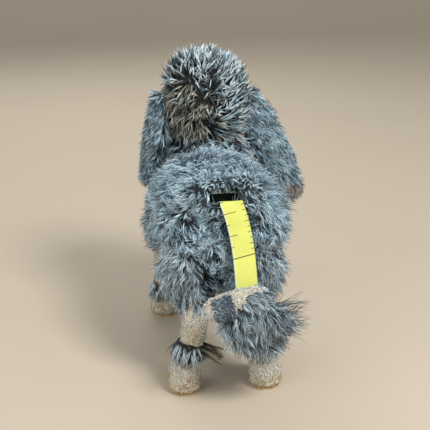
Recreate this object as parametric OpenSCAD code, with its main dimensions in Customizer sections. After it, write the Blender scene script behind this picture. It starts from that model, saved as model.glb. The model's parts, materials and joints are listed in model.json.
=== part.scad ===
// Stuffed mohair poodle whose tail draws a spring tape measure out of its rump.
// The dog faces +Y, its right side is +X, and its soles stand on z = 0.

/* [Body] */
// Radius of the stuffed body at its widest
body_r = 40; // [37:0.5:42]
// Half of the body's length, from rump to chest
body_half_len = 60; // [59:0.5:64]
// Height of the body's middle line above the table
body_z = 92; // [90:0.5:95]
// Bluntness of rump and chest, where 2 is an ellipse and 4 is nearly a barrel
body_bluntness = 2.9; // [2.7:0.1:3.2]
// Half width of the narrow belly between the legs
belly_half = 13.8; // [13.5:0.1:15]
// Radius of the neck stub that the head turns on
neck_r = 18; // [16:0.5:19]
// Height of the neck's flat top above the body's middle line
neck_rise = 43; // [41:0.2:45]
// Thickness of the cloth
cloth = 1.6; // [1.2:0.1:2]
// Depth of the pile on the body, outside the cloth
pile = 1.8; // [1.5:0.1:1.8]

/* [Legs] */
// Radius of the rounded thigh at the hip
thigh_r = 19; // [17:0.5:20]
// Radius of the rounded upper arm at the shoulder
shoulder_r = 15.5; // [14:0.5:16.5]
// Thickness of a thigh, from the belly outwards
thigh_thick = 19.5; // [18:0.5:21]
// Thickness of an upper arm, from the belly outwards
shoulder_thick = 18; // [17:0.5:20]
// Distance between the centre lines of the two hind feet
hind_track = 49; // [48:0.5:53]
// Distance between the centre lines of the two front feet
front_track = 52; // [49:0.5:54]
// Radius of a shaved shin
shin_r = 7.2; // [6.5:0.1:7.8]
// Radius of a foot at the heel
heel_r = 9.2; // [8.5:0.1:9.8]
// Distance from the heel's centre to the toe's centre
toe_reach = 11; // [8:0.5:14]
// Outer radius of an ankle pom at its lower edge
cuff_r = 11.6; // [10.5:0.1:12]
// Height of an ankle pom
cuff_h = 13.5; // [12:0.5:15]
// Thickness of the sole
sole_t = 1.2; // [0.8:0.1:2]

/* [Head] */
// Radius of the stuffed skull under its hair
skull_r = 24; // [22:0.5:25]
// Half height of the skull
skull_half_h = 27; // [25:0.5:28]
// Thickness of the topknot's hair over the skull
topknot_thick = 4.4; // [3:0.2:5]
// Radius of the muzzle where it leaves the face
muzzle_r = 12; // [10:0.5:13]
// Length of the muzzle in front of the skull's centre
muzzle_len = 48; // [44:1:54]
// Radius of a glass eye
eye_r = 3.6; // [3:0.1:4.2]
// Length of the left ear
ear_left_len = 56; // [48:1:58]
// Length of the right ear
ear_right_len = 76; // [66:1:80]
// Width of an ear at its widest
ear_width = 36; // [30:1:38]
// Thickness of an ear's mohair
ear_thick = 4; // [3:0.2:5]

/* [Tape measure] */
// Width of the tape
tape_w = 12.7; // [10:0.1:13]
// Thickness of the cloth tape
tape_t = 0.35; // [0.25:0.05:0.5]
// Length of tape that hangs out of the mouth
tape_out = 59; // [55:1:62]
// Radius of the wound tape on its spool
wound_r = 14.1; // [13:0.1:14.4]
// Radius of the spool's hub
hub_r = 8; // [7:0.1:9]
// Radius of the fixed arbor
arbor_r = 2; // [1.5:0.1:2.4]
// Wall thickness of the tape case
case_wall = 1.2; // [1:0.1:1.4]
// Inner width of the mouth
mouth_w = 19.6; // [17:0.1:21]
// Inner height of the mouth
mouth_h = 7; // [6:0.1:7.5]
// Angle by which the hanging tape leans away from the rump
tape_rake = 16.5; // [15:0.5:18]
// Angle by which the hanging tape leans to the right
tape_lean = 12; // [8:0.5:14]

/* [Tail] */
// Radius of the shaved tail
tail_r = 6.8; // [6:0.1:7.2]
// Length of the shaved tail
tail_len = 33; // [28:1:36]
// Upward slant of the tail to the right
tail_slant = 14; // [8:1:18]
// Radius of the pom at the tail's end
pom_r = 20.5; // [18:0.5:22]
// Half of the pom's depth
pom_half_depth = 9.5; // [8:0.5:10]

/* [Joints] */
// Radius of a fibre joint disc
disc_r = 9; // [8:0.5:9]
// Thickness of a fibre joint disc
disc_t = 1.6; // [1.2:0.1:1.8]
// Radius of a steel washer
washer_r = 4; // [3:0.1:5]
// Thickness of a steel washer
washer_t = 0.6; // [0.5:0.1:0.8]
// Radius of a cotter pin
pin_r = 0.9; // [0.7:0.05:1.1]

/* [Hidden] */
$fn = 72;

// Clearances: between a moving piece and its seat, between layers of one body,
// and between a turning shaft and its bore
joint_gap = 0.4;
pad_room = 0.6;
swing_room = 5;
layer_gap = 0.1;
running_gap = 0.05;
far = 200;

// Colours of the cloths, metals and plastics
grey_fur = "#8795a3";
pale_fur = "#aebdca";
cream = "#d9cfb8";
golden = "#c79a55";
wood_wool = "#d8c48f";
fibre = "#8a6a45";
steel = "#9aa0a6";
dark_metal = "#3c4641";

// Places along the body, counted from the rump and from the chest
body_y = -1;
rump_y = body_y - body_half_len;
chest_y = body_y + body_half_len;
hip_in = 23;
hip_drop = 18;
shoulder_in = 17;
shoulder_drop = 15;
hind_step = 16;
front_step = 12;
neck_in = 29;
overhang_drop = 4;
hip = [belly_half, rump_y + hip_in, body_z - hip_drop];
shoulder = [belly_half, chest_y - shoulder_in, body_z - shoulder_drop];
hind_foot_y = hip.y - hind_step;
front_foot_y = shoulder.y + front_step;
knee_z = hip.z - 30;
elbow_z = shoulder.z - 27;
overhang_z = body_z - overhang_drop;
neck_y = chest_y - neck_in;
neck_z = body_z + neck_rise;
hind_cuff_z = 19.5;
front_cuff_z = 12.5;
toe_r = heel_r - 2;

// Head
head_base = neck_z + joint_gap;
skull_z = head_base + skull_half_h * 8 / 9;
skull_bluntness = 2.4;
topknot_r = skull_r + topknot_thick;
topknot_half_h = skull_half_h + topknot_thick * 0.7;
topknot_hem = head_base + 2;
muzzle_drop = 7;
muzzle_z = skull_z - muzzle_drop;
nose_r = 4.4;
nose_sunk = 1.6;
nose_rise = 4.2;
stitch_r = 0.7;
stitch_in = 3.4;
face_in = 12;
face_rise = 10;
eye_place = [10.5, 20.6, 4.5];
eye_wire_r = 0.6;
eye_wire_in = 8;
eye_wire_out = 22.4;
ear_lining_t = 1.2;

// Ears: seam point, turn about the vertical, outward hang, and lean in the ear's own plane
ear_left_seam = [-(topknot_r + 1.5), neck_y + 1, skull_z + 3];
ear_left_turn = -8;
ear_left_hang = 14;
ear_left_lean = 0;
ear_right_seam = [topknot_r + 3, neck_y + 6, skull_z + 2.5];
ear_right_turn = -50;
ear_right_hang = 18;
ear_right_lean = 13;

// Tape case: its arbor lies in the rump, and the mouth rises from the spool's top
case_setback = 22.1;
case_rise = 4.9;
case_at = [0, rump_y + case_setback, body_z + case_rise];
mouth_tilt = 70;
run_y = wound_r + 0.25;
mouth_end = 26.6;
mouth_start = 10.9;
mouth_slant = 24;
flange_r = wound_r + 0.7;
flange_t = 0.8;
flange_in = tape_w / 2 + 0.15;
case_in_r = flange_r + 0.5;
case_r = case_in_r + case_wall;
case_in = flange_in + flange_t + 0.3;
case_half = case_in + case_wall;
rivet_r = 0.9;
lug_r = 2.4;
lug_at = [for (a = [0, -62, -128]) (case_r + 1.6) * [cos(a), sin(a)]];
spring_t = 0.3;
spring_turns = 5;

// The tape bends round the mouth's lower lip and then hangs along tape_way
lip_r = 1.6;
mouth_u = [0, -sin(mouth_tilt), cos(mouth_tilt)];
mouth_v = [0, cos(mouth_tilt), sin(mouth_tilt)];
lip_at = case_at + (run_y - lip_r) * mouth_v + mouth_end * mouth_u;
tape_out_way = [0, -cos(tape_rake), sin(tape_rake)];
tape_top = lip_at + lip_r * tape_out_way;
tape_way = [sin(tape_lean), -cos(tape_lean) * sin(tape_rake), -cos(tape_lean) * cos(tape_rake)];
tape_bend = 180 - tape_rake - mouth_tilt;

// Tail: it is sewn to the outside of the tape and lies in the tape's plane
tail_drop = tape_out - 6;
tail_cloth = 1.2;
tail_off = tail_r + tape_t / 2 + 0.15;
tail_way = [cos(tail_slant), sin(tail_slant) * sin(tape_rake), sin(tail_slant) * cos(tape_rake)];
sewn_from_middle = 11.5;
tail_at = tape_top + tail_drop * tape_way + tail_off * tape_out_way
    - sewn_from_middle * tail_way;
pom_at = tail_at + [14.2, 0, -15];
patch_at = -12;
patch_len = 11.5;
patch_t = 1.2;

// The frame's origin is the middle of the footprint of the whole toy
function ear_shape(len, a) =
    [ear_width / 2 * sin(a) * (0.6 + 0.2 * (1 - cos(a))), -len * (1 - cos(a)) / 2];
function leaned(p, lean) =
    [p.x * cos(lean) - p.y * sin(lean), p.x * sin(lean) + p.y * cos(lean)];
function ear_reach(turn, hang, p) =
    cos(turn) * (ear_thick * cos(hang) - p.y * sin(hang)) + abs(sin(turn)) * p.x;
reach_left = -ear_left_seam.x + max([for (a = [0:10:350])
    ear_reach(ear_left_turn, ear_left_hang, leaned(ear_shape(ear_left_len, a), ear_left_lean))]);
reach_right = ear_right_seam.x + max([for (a = [0:10:350])
    ear_reach(ear_right_turn, ear_right_hang, leaned(ear_shape(ear_right_len, a), ear_right_lean))]);
reach_front = neck_y + muzzle_len - nose_sunk + nose_r;
reach_back = pom_at.y - pom_half_depth;
middle_x = (reach_right - reach_left) / 2;
middle_y = (reach_front + reach_back) / 2;

// One point of a rounded profile whose bluntness is n
function blunt(r, h, n, a) =
    [r * pow(abs(cos(a)), 2 / n), h * sign(a) * pow(abs(sin(a)), 2 / n)];

// Closed form turned about Z, 2h tall
module barrel(r, h, n) {
    rotate_extrude()
        polygon(concat([[0, -h]], [for (a = [-84:6:84]) blunt(r, h, n, a)], [[0, h]]));
}

// Half of such a form, with its flat face on z = 0
module half_barrel(r, h, n) {
    rotate_extrude()
        polygon(concat([[0, 0]], [for (a = [0:6:84]) blunt(r, h, n, a)], [[0, h]]));
}

// Moves a piece from the dog's own centre plane to the shared origin
module placed() {
    translate([-middle_x, -middle_y, 0]) children();
}

// Turns +Z outwards to the dog's left (-1) or right (1), at a leg's joint
module at_joint(joint, side) {
    translate([side * joint.x, joint.y, joint.z]) rotate([0, side * 90, 0]) children();
}

module at_neck() {
    translate([0, neck_y, neck_z]) children();
}

module at_every_joint() {
    at_neck() children();
    for (side = [-1, 1], joint = [hip, shoulder]) at_joint(joint, side) children();
}

// Depths of the joint hardware, counted from the faces that turn on each other
disc_in = cloth + layer_gap;
washer_in = disc_in + disc_t + layer_gap;
pin_in = washer_in + washer_t + layer_gap;
prong_t = 0.6;
prong_reach = 3.4;
eye_ring_r = 1.6;
pocket_deep = pin_in + 2 * eye_ring_r + 2 * prong_t + 0.8;

module ring(r, bore, t) {
    difference() {
        cylinder(r = r, h = t);
        translate([0, 0, -1]) cylinder(r = bore, h = t + 2);
    }
}

module fixed_disc() {
    translate([0, 0, -disc_in - disc_t]) ring(disc_r, pin_r + running_gap, disc_t);
}

module fixed_washer() {
    translate([0, 0, -washer_in - washer_t]) ring(washer_r, pin_r + running_gap, washer_t);
}

module moving_disc() {
    translate([0, 0, joint_gap + disc_in]) ring(disc_r, pin_r + running_gap, disc_t);
}

// Cotter pin with its eye in the moving part and its two prongs bent flat in the body
module joint_pin() {
    foot = pin_in + prong_t;
    head = joint_gap + pin_in;
    translate([0, 0, -foot]) cylinder(r = pin_r, h = foot + head + 0.5);
    translate([0, 0, -foot]) rotate([0, 90, 0])
        cylinder(r = prong_t, h = 2 * prong_reach, center = true);
    translate([0, 0, head + eye_ring_r]) rotate([90, 0, 0])
        rotate_extrude() translate([eye_ring_r, 0]) circle(r = prong_t);
    translate([0, 0, joint_gap + washer_in]) ring(washer_r, pin_r + running_gap, washer_t);
}

// Space in the stuffing for discs, washers and pin, from the joint's face inwards
module joint_pocket() {
    translate([0, 0, -1]) cylinder(r = disc_r + 0.2, h = pin_in + 1.2);
    cylinder(r = washer_r + 0.4, h = pocket_deep);
}

module pin_hole() {
    translate([0, 0, -cloth - 1]) cylinder(r = pin_r + 0.4, h = 2 * cloth + 2);
}

// ---- Body ----

// Space beside the belly in which the legs swing: behind the hips and before the shoulders
module flank_cut(side, inset) {
    inner = belly_half - inset;
    x0 = side > 0 ? inner : -far;
    rear_y = hip.y + thigh_r + swing_room + inset;
    fore_y = shoulder.y - shoulder_r - swing_room - inset;
    translate([x0, rear_y - far, 0]) cube([far - inner, far, overhang_z + inset]);
    translate([x0, fore_y, 0]) cube([far - inner, far, overhang_z + inset]);
    at_joint([inner, hip.y, hip.z], side)
        cylinder(r = thigh_r + pad_room + inset, h = far);
    at_joint([inner, shoulder.y, shoulder.z], side)
        cylinder(r = shoulder_r + pad_room + inset, h = far);
}

// The pile stands on the round surfaces and not on the flat faces at the joints
module body_form(inset, pile_depth) {
    outer = inset + pile_depth;
    difference() {
        union() {
            translate([0, body_y, body_z]) rotate([-90, 0, 0])
                barrel(body_r - outer, body_half_len - outer, body_bluntness);
            translate([0, neck_y, body_z])
                cylinder(r = neck_r - outer, h = neck_rise - inset);
        }
        for (side = [-1, 1]) flank_cut(side, inset);
    }
}

module at_case() {
    translate(case_at) rotate([mouth_tilt, 0, 0]) children();
}

// The slit by which the tape leaves the case's rim
module tape_slit() {
    translate([-tape_w / 2 - 0.5, run_y - 0.8, 0]) cube([tape_w + 1, 1.6, mouth_start + 1]);
}

module mouth_box(grow) {
    translate([-mouth_w / 2 - case_wall - grow, run_y - 0.4 - case_wall - grow, mouth_start - grow])
        cube([mouth_w + 2 * (case_wall + grow), mouth_h + 2 * (case_wall + grow), far]);
}

module body_cover() {
    color(grey_fur) placed() difference() {
        body_form(0, 0);
        body_form(cloth, pile);
        at_case() mouth_box(0.3);
        at_every_joint() pin_hole();
    }
}

module body_stuffing() {
    color(wood_wool) placed() difference() {
        body_form(cloth + layer_gap, pile);
        at_case() {
            case_solid(0.3);
            mouth_box(0.3);
            tape_slit();
        }
        at_every_joint() mirror([0, 0, 1]) joint_pocket();
    }
}

module body_joint_discs() {
    color(fibre) placed() at_every_joint() fixed_disc();
}

module body_joint_washers() {
    color(steel) placed() at_every_joint() fixed_washer();
}

// ---- Tape measure ----

// The case lies across the body: its outline is drawn in the Y-Z plane
module across(half) {
    rotate([0, 90, 0]) rotate([0, 0, 90])
        translate([0, 0, -half]) linear_extrude(2 * half) children();
}

module case_outline(grow) {
    circle(r = case_r + grow);
    for (p = lug_at) translate(p) circle(r = lug_r + grow);
}

module case_solid(grow) {
    across(case_half + grow) case_outline(grow);
}

module case_half_shell(side) {
    color(steel) placed() at_case() difference() {
        case_solid(0);
        across(case_in) circle(r = case_in_r);
        across(far) circle(r = arbor_r);
        for (p = lug_at) across(far) translate(p) circle(r = rivet_r);
        tape_slit();
        translate([side > 0 ? -far : 0, -far / 2, -far / 2]) cube(far);
    }
}

module case_rivets() {
    color("#b08d57") placed() at_case() for (p = lug_at) {
        across(case_half) translate(p) circle(r = rivet_r);
        for (side = [-1, 1]) translate([side * (case_half + 0.15), 0, 0])
            across(0.15) translate(p) circle(r = 1.7);
    }
}

module spool_arbor() {
    color(steel) placed() at_case() across(case_half) circle(r = arbor_r);
}

module spool() {
    color("#c9c2a8") placed() at_case() {
        across(flange_in + 0.05) difference() {
            circle(r = hub_r);
            circle(r = hub_r - 0.8);
        }
        for (side = [-1, 1]) translate([side * (flange_in + flange_t / 2), 0, 0])
            across(flange_t / 2) difference() {
                circle(r = flange_r);
                circle(r = arbor_r + running_gap);
            }
    }
}

module wound_tape() {
    color("#e8cf2c") placed() at_case() across(tape_w / 2) difference() {
        circle(r = wound_r);
        circle(r = hub_r + layer_gap);
    }
}

// Flat spiral spring from the arbor out to the hub
module mainspring() {
    inner = arbor_r + 0.4;
    outer = hub_r - 1.3;
    steps = spring_turns * 24;
    function turn_r(i) = inner + (outer - inner) * i / steps;
    function spiral(i, off) = (turn_r(i) + off) * [cos(i * 15), sin(i * 15)];
    color("#5a6470") placed() at_case() across(tape_w / 2 - 0.6)
        polygon(concat(
            [for (i = [0:steps]) spiral(i, 0)],
            [for (i = [steps:-1:0]) spiral(i, spring_t)]
        ));
}

// Spout of the case, cut off on a slant where it meets the fur
module tape_mouth() {
    color(dark_metal) placed() at_case() difference() {
        mouth_box(0);
        translate([-mouth_w / 2, run_y - 0.4, 0]) cube([mouth_w, mouth_h, far]);
        translate([-far / 2, run_y - 0.4 - case_wall, mouth_end - 0.3])
            rotate([-mouth_slant, 0, 0]) translate([0, -far / 2, 0]) cube(far);
    }
}

module free_tape() {
    color("#f2e431") placed() {
        at_case() translate([-tape_w / 2, run_y - tape_t / 2, 0])
            cube([tape_w, tape_t, mouth_end + 0.05]);
        translate(lip_at) rotate([0, 90, 0]) rotate([0, 0, mouth_tilt + 90])
            rotate_extrude(angle = tape_bend)
                translate([lip_r - tape_t / 2, -tape_w / 2]) square([tape_t, tape_w]);
        hanging_tape(0);
    }
}

module hanging_tape(grow) {
    translate(tape_top) rotate([-tape_rake, 0, 0]) rotate([0, -tape_lean, 0])
        translate([-tape_w / 2 - grow, -tape_t / 2 - grow, -tape_out - grow])
            cube([tape_w + 2 * grow, tape_t + 2 * grow, tape_out + grow + 1]);
}

// ---- Tail ----

module along_tail() {
    translate(tail_at) rotate([-tape_rake, 0, 0]) rotate([0, 90 - tail_slant, 0]) children();
}

module tail_form(inset) {
    along_tail() barrel(tail_r - inset, tail_len / 2 - inset, 4);
}

module tail_cover() {
    color(cream) placed() difference() {
        tail_form(0);
        tail_form(tail_cloth);
    }
}

module tail_stuffing() {
    color(wood_wool) placed() tail_form(tail_cloth + layer_gap);
}

// Scrap of grey fur on the tail's base
module tail_patch() {
    color(grey_fur) placed() along_tail() translate([0, 0, patch_at])
        rotate([0, 0, 210]) rotate_extrude(angle = 110)
            translate([tail_r + layer_gap, 0]) square([patch_t, patch_len]);
}

module tail_pom() {
    color(grey_fur) placed() difference() {
        translate(pom_at) rotate([90, 0, 0]) barrel(pom_r, pom_half_depth, 2.4);
        tail_form(-layer_gap);
        hanging_tape(layer_gap);
    }
}

// ---- Head ----

module skull_form(inset) {
    difference() {
        translate([0, neck_y, skull_z])
            barrel(skull_r - inset, skull_half_h - inset, skull_bluntness);
        translate([-far / 2, -far / 2, head_base + inset - far]) cube(far);
    }
}

module eye_wires(grow) {
    for (side = [-1, 1])
        translate([side * eye_place.x, neck_y + eye_wire_in - grow, skull_z + eye_place.z])
            rotate([-90, 0, 0])
                cylinder(r = eye_wire_r + grow, h = eye_wire_out - eye_wire_in + 2 * grow);
}

module head_cover() {
    color(cream) placed() difference() {
        skull_form(0);
        skull_form(cloth);
        at_neck() pin_hole();
        eye_wires(layer_gap);
    }
}

module head_stuffing() {
    color(wood_wool) placed() difference() {
        skull_form(cloth + layer_gap);
        at_neck() translate([0, 0, joint_gap]) joint_pocket();
        eye_wires(layer_gap);
    }
}

// Cap of hair over crown, cheeks and nape, open at the face
module topknot() {
    color(pale_fur) placed() difference() {
        translate([0, neck_y, skull_z]) barrel(topknot_r, topknot_half_h, 2.6);
        skull_form(-layer_gap);
        translate([-far / 2, -far / 2, topknot_hem - far]) cube(far);
        translate([-far / 2, neck_y + face_in, skull_z + face_rise - far]) cube(far);
    }
}

module muzzle_form(grow) {
    round_len = 6;
    tip = muzzle_len - round_len;
    tip_r = muzzle_r * 0.75;
    translate([0, neck_y, muzzle_z]) rotate([-90, 0, 0]) rotate_extrude() polygon(concat(
        [[0, 0], [muzzle_r + 2 + grow, 0]],
        [for (a = [0:6:84]) [0, tip] + blunt(tip_r + grow, round_len + grow, 2.5, a)],
        [[0, muzzle_len + grow]]
    ));
}

module muzzle() {
    color(cream) placed() difference() {
        muzzle_form(0);
        skull_form(-layer_gap);
    }
}

module nose() {
    color("#1c1a19") placed() difference() {
        translate([0, neck_y + muzzle_len - nose_sunk, muzzle_z + nose_rise]) sphere(r = nose_r);
        muzzle_form(layer_gap / 2);
    }
}

// Smile line sewn round the lower front of the muzzle
module mouth_stitches() {
    color("#1c1a19") placed() difference() {
        translate([0, neck_y + muzzle_len - stitch_in, muzzle_z]) rotate([-90, 0, 0])
            rotate([0, 0, 20]) rotate_extrude(angle = 140)
                translate([muzzle_r * 0.73, 0]) circle(r = stitch_r);
        muzzle_form(layer_gap / 2);
    }
}

module eye(side) {
    color("#5a2f12") placed() {
        difference() {
            translate([side * eye_place.x, neck_y + eye_place.y, skull_z + eye_place.z])
                sphere(r = eye_r);
            skull_form(-layer_gap / 2);
        }
        intersection() {
            eye_wires(0);
            translate([side > 0 ? 0 : -far, -far / 2, 0]) cube([far, far, far]);
        }
    }
}

module neck_joint_disc() {
    color(fibre) placed() at_neck() moving_disc();
}

module neck_joint_pin() {
    color(steel) placed() at_neck() joint_pin();
}

// ---- Ears ----

// Leaf outline, narrow at the seam and wide below, hanging down from [0, 0]
module ear_outline(len) {
    polygon([for (a = [0:10:350]) ear_shape(len, a)]);
}

module ear_left_layer(from, thick) {
    placed() translate(ear_left_seam) rotate([0, 0, ear_left_turn]) rotate([0, ear_left_hang, 0])
        translate([-from - thick, 0, 0]) rotate([90, 0, 90])
            linear_extrude(thick) rotate(ear_left_lean) ear_outline(ear_left_len);
}

module ear_right_layer(from, thick) {
    placed() translate(ear_right_seam) rotate([0, 0, ear_right_turn]) rotate([0, -ear_right_hang, 0])
        translate([from, 0, 0]) rotate([90, 0, 90])
            linear_extrude(thick) rotate(ear_right_lean) ear_outline(ear_right_len);
}

module ear_left_fur() {
    color(grey_fur) ear_left_layer(0, ear_thick);
}

module ear_left_lining() {
    color(cream) ear_left_layer(-ear_lining_t - layer_gap, ear_lining_t);
}

module ear_right_fur() {
    color(grey_fur) ear_right_layer(0, ear_thick);
}

module ear_right_lining() {
    color(cream) ear_right_layer(-ear_lining_t - layer_gap, ear_lining_t);
}

// ---- Legs ----

// The shaved leg under the pad: a taper down to the shin, the shin and the foot
module leg_lower(joint, foot, mid_z, inset) {
    drop = [0, foot.y - joint.y, mid_z - joint.z];
    translate([foot.x, joint.y, joint.z]) rotate([atan2(-drop.y, drop.z), 0, 0])
        cylinder(r1 = foot.x - joint.x - joint_gap - pad_room - inset, r2 = shin_r + 0.5 - inset,
                 h = norm(drop));
    translate([foot.x, foot.y, mid_z]) sphere(r = shin_r + 0.6 - inset);
    translate([foot.x, foot.y, sole_t + 4]) cylinder(r = shin_r - inset, h = mid_z - sole_t - 4);
    foot_form(foot, inset);
}

module foot_form(foot, inset) {
    translate([foot.x, foot.y, sole_t + layer_gap / 2]) hull() {
        for (y = [0, toe_reach]) translate([0, y, inset])
            cylinder(r = heel_r - 1.5 - inset, h = 0.5, $fn = 32);
        translate([0, 0, heel_r]) sphere(r = heel_r - inset, $fn = 32);
        translate([0, toe_reach, toe_r]) sphere(r = toe_r - inset, $fn = 32);
    }
}

// One leg on the dog's right; the left ones are its mirror images
module leg_form(joint, pad_r, thick, foot, mid_z, inset) {
    translate([joint.x + joint_gap + inset, joint.y, joint.z]) rotate([0, 90, 0])
        half_barrel(pad_r - inset, thick - 2 * inset, 3);
    leg_lower(joint, foot, mid_z, inset);
}

module hind_form(inset) {
    leg_form(hip, thigh_r, thigh_thick, [hind_track / 2, hind_foot_y], knee_z, inset);
}

module front_form(inset) {
    leg_form(shoulder, shoulder_r, shoulder_thick, [front_track / 2, front_foot_y], elbow_z, inset);
}

module shape_of(is_hind, inset) {
    if (is_hind) hind_form(inset);
    else front_form(inset);
}

module leg_cover(is_hind) {
    color(cream) difference() {
        shape_of(is_hind, 0);
        shape_of(is_hind, cloth);
        at_joint(is_hind ? hip : shoulder, 1) pin_hole();
    }
}

module leg_stuffing(is_hind) {
    color(wood_wool) difference() {
        shape_of(is_hind, cloth + layer_gap);
        at_joint(is_hind ? hip : shoulder, 1) translate([0, 0, joint_gap]) joint_pocket();
    }
}

// Bell of long fur round the ankle
module leg_cuff(is_hind) {
    x = (is_hind ? hind_track : front_track) / 2;
    y = is_hind ? hind_foot_y : front_foot_y;
    bore = heel_r + 0.3;
    color(grey_fur) difference() {
        translate([x, y, is_hind ? hind_cuff_z : front_cuff_z]) rotate_extrude()
            polygon([[bore, 0], [cuff_r - 0.8, 0], [cuff_r, 1.5], [cuff_r - 0.6, cuff_h * 0.55],
                     [shin_r + 2.2, cuff_h], [shin_r + layer_gap, cuff_h],
                     [shin_r + layer_gap, 9], [bore, 3.5]]);
        if (!is_hind) foot_form([x, y], -layer_gap);
    }
}

// Flat sole, its outline two half circles joined by straight sides
module leg_sole(is_hind) {
    x = (is_hind ? hind_track : front_track) / 2;
    y = is_hind ? hind_foot_y : front_foot_y;
    r = heel_r - 1.4;
    color(golden) translate([x, y, 0]) linear_extrude(sole_t) polygon(concat(
        [for (a = [0:10:180]) [r * cos(a), toe_reach + r * sin(a)]],
        [for (a = [180:10:360]) [r * cos(a), r * sin(a)]]
    ));
}

module leg_piece(piece, is_hind) {
    joint = is_hind ? hip : shoulder;
    if (piece == "cover") leg_cover(is_hind);
    if (piece == "stuffing") leg_stuffing(is_hind);
    if (piece == "cuff") leg_cuff(is_hind);
    if (piece == "sole") leg_sole(is_hind);
    if (piece == "joint_disc") color(fibre) at_joint(joint, 1) moving_disc();
    if (piece == "joint_pin") color(steel) at_joint(joint, 1) joint_pin();
}

module on_right(piece, is_hind) {
    placed() leg_piece(piece, is_hind);
}

module on_left(piece, is_hind) {
    placed() mirror([1, 0, 0]) leg_piece(piece, is_hind);
}

body_cover();
body_stuffing();
body_joint_discs();
body_joint_washers();
tape_mouth();
case_half_shell(-1);  // case_left
case_half_shell(1);  // case_right
case_rivets();
spool_arbor();
spool();
wound_tape();
mainspring();
free_tape();
tail_cover();
tail_stuffing();
tail_patch();
tail_pom();
head_cover();
head_stuffing();
topknot();
muzzle();
nose();
mouth_stitches();
eye(-1);  // eye_left
eye(1);  // eye_right
neck_joint_disc();
neck_joint_pin();
ear_left_fur();
ear_left_lining();
ear_right_fur();
ear_right_lining();
for (is_hind = [true, false], piece = ["cover", "stuffing", "cuff", "sole", "joint_disc", "joint_pin"]) {
    leg = is_hind ? "hind" : "front";
    on_left(piece, is_hind);
    on_right(piece, is_hind);
}
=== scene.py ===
"""Stuffed mohair poodle with a lion clip and a spring tape measure in its rump.

Every soft part is a sewn skin, worked out with numpy and filled like a cushion, and the mohair on it
is grown as locks of tapering hairs. The dog faces +Y, its right side is +X, and it stands on z = 0.
"""

import json
import logging
import math
from collections.abc import Callable
from dataclasses import dataclass, field
from enum import Enum

import bpy
import numpy as np
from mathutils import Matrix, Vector


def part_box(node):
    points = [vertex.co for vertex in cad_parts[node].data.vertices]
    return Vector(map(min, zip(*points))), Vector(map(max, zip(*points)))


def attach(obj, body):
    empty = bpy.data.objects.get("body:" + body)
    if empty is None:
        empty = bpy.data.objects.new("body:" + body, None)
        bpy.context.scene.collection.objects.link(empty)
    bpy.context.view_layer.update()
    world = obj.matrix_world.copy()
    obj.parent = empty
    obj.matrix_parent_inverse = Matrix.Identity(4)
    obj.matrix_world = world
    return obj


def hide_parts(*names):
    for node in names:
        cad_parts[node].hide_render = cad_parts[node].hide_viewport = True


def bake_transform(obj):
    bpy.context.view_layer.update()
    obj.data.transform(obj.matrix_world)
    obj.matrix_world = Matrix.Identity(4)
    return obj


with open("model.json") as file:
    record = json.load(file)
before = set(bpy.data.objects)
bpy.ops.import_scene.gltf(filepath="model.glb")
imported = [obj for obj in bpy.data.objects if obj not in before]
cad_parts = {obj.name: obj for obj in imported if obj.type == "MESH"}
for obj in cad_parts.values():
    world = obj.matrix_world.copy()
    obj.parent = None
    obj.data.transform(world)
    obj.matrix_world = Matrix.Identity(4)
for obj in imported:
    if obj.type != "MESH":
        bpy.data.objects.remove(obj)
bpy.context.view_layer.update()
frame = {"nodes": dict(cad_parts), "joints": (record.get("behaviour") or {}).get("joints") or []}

log = logging.getLogger("poodle")
Array = np.ndarray
Piece = bpy.types.Object
Socket = bpy.types.NodeSocket
MM = 0.001
INCH = 0.0254
TINY = 1e-9
ROOT_DEPTH = 0.4 * MM
TABLE_GAP = 0.6 * MM
RIGHT = np.array([1.0, 0.0, 0.0])
UP = np.array([0.0, 0.0, 1.0])
DOWN = np.array([0.0, 0.0, -1.0])
HAIR_MAP = "OFBake"
TAPE_MAP = "Tape marks"
MAP_LENGTH = 0.1
SHADES = ("Root", "Cool dark", "Cool middle", "Cool pale", "Warm dark", "Warm pale", "Tip")


# ---- Small sums ----


def unit(v: Array) -> Array:
    """Returns v with every vector at length 1."""
    return v / np.maximum(np.linalg.norm(v, axis=-1, keepdims=True), TINY)


def ease(x: Array, low: float = 0.0, high: float = 1.0) -> Array:
    """Returns 0 below low, 1 above high and a smooth S between them."""
    t = np.clip((x - low) / (high - low), 0.0, 1.0)
    return t * t * (3.0 - 2.0 * t)


def around(count: int) -> Array:
    """Returns evenly spaced angles of one full turn."""
    return np.linspace(0, 2 * math.pi, count, endpoint=False)


def cool(shade: Array) -> Array:
    """Returns a shade kept among the cool ones, which lie below one half."""
    return np.clip(shade, 0.03, 0.48)


def mottle(at: Array, size: float, seed: int) -> Array:
    """Cloudy noise, as a sum of waves of random direction.

    Args:
        at: Points, with x, y and z last.
        size: Width of one cloud, in millimetres.
        seed: Seed of the directions and phases.

    Returns:
        About -1 to 1 for each point.
    """
    rng, count = np.random.default_rng(seed), 14
    waves = unit(rng.normal(size=(count, 3))) * (math.pi / (size * MM)) * rng.uniform(0.6, 1.5, (count, 1))
    phases = rng.uniform(0, 2 * math.pi, count)
    return np.sin(at @ waves.T + phases).sum(-1) / 5.0


def turned(v: Array, about: Array, angle: Array) -> Array:
    """Turns vectors by Rodrigues' formula.

    Args:
        v: The vectors.
        about: Unit vectors to turn about.
        angle: One angle for each.

    Returns:
        The turned vectors.
    """
    c, s = np.cos(angle)[..., None], np.sin(angle)[..., None]
    dot = (v * about).sum(-1, keepdims=True)
    return v * c + np.cross(about, v) * s + about * dot * (1 - c)


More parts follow.
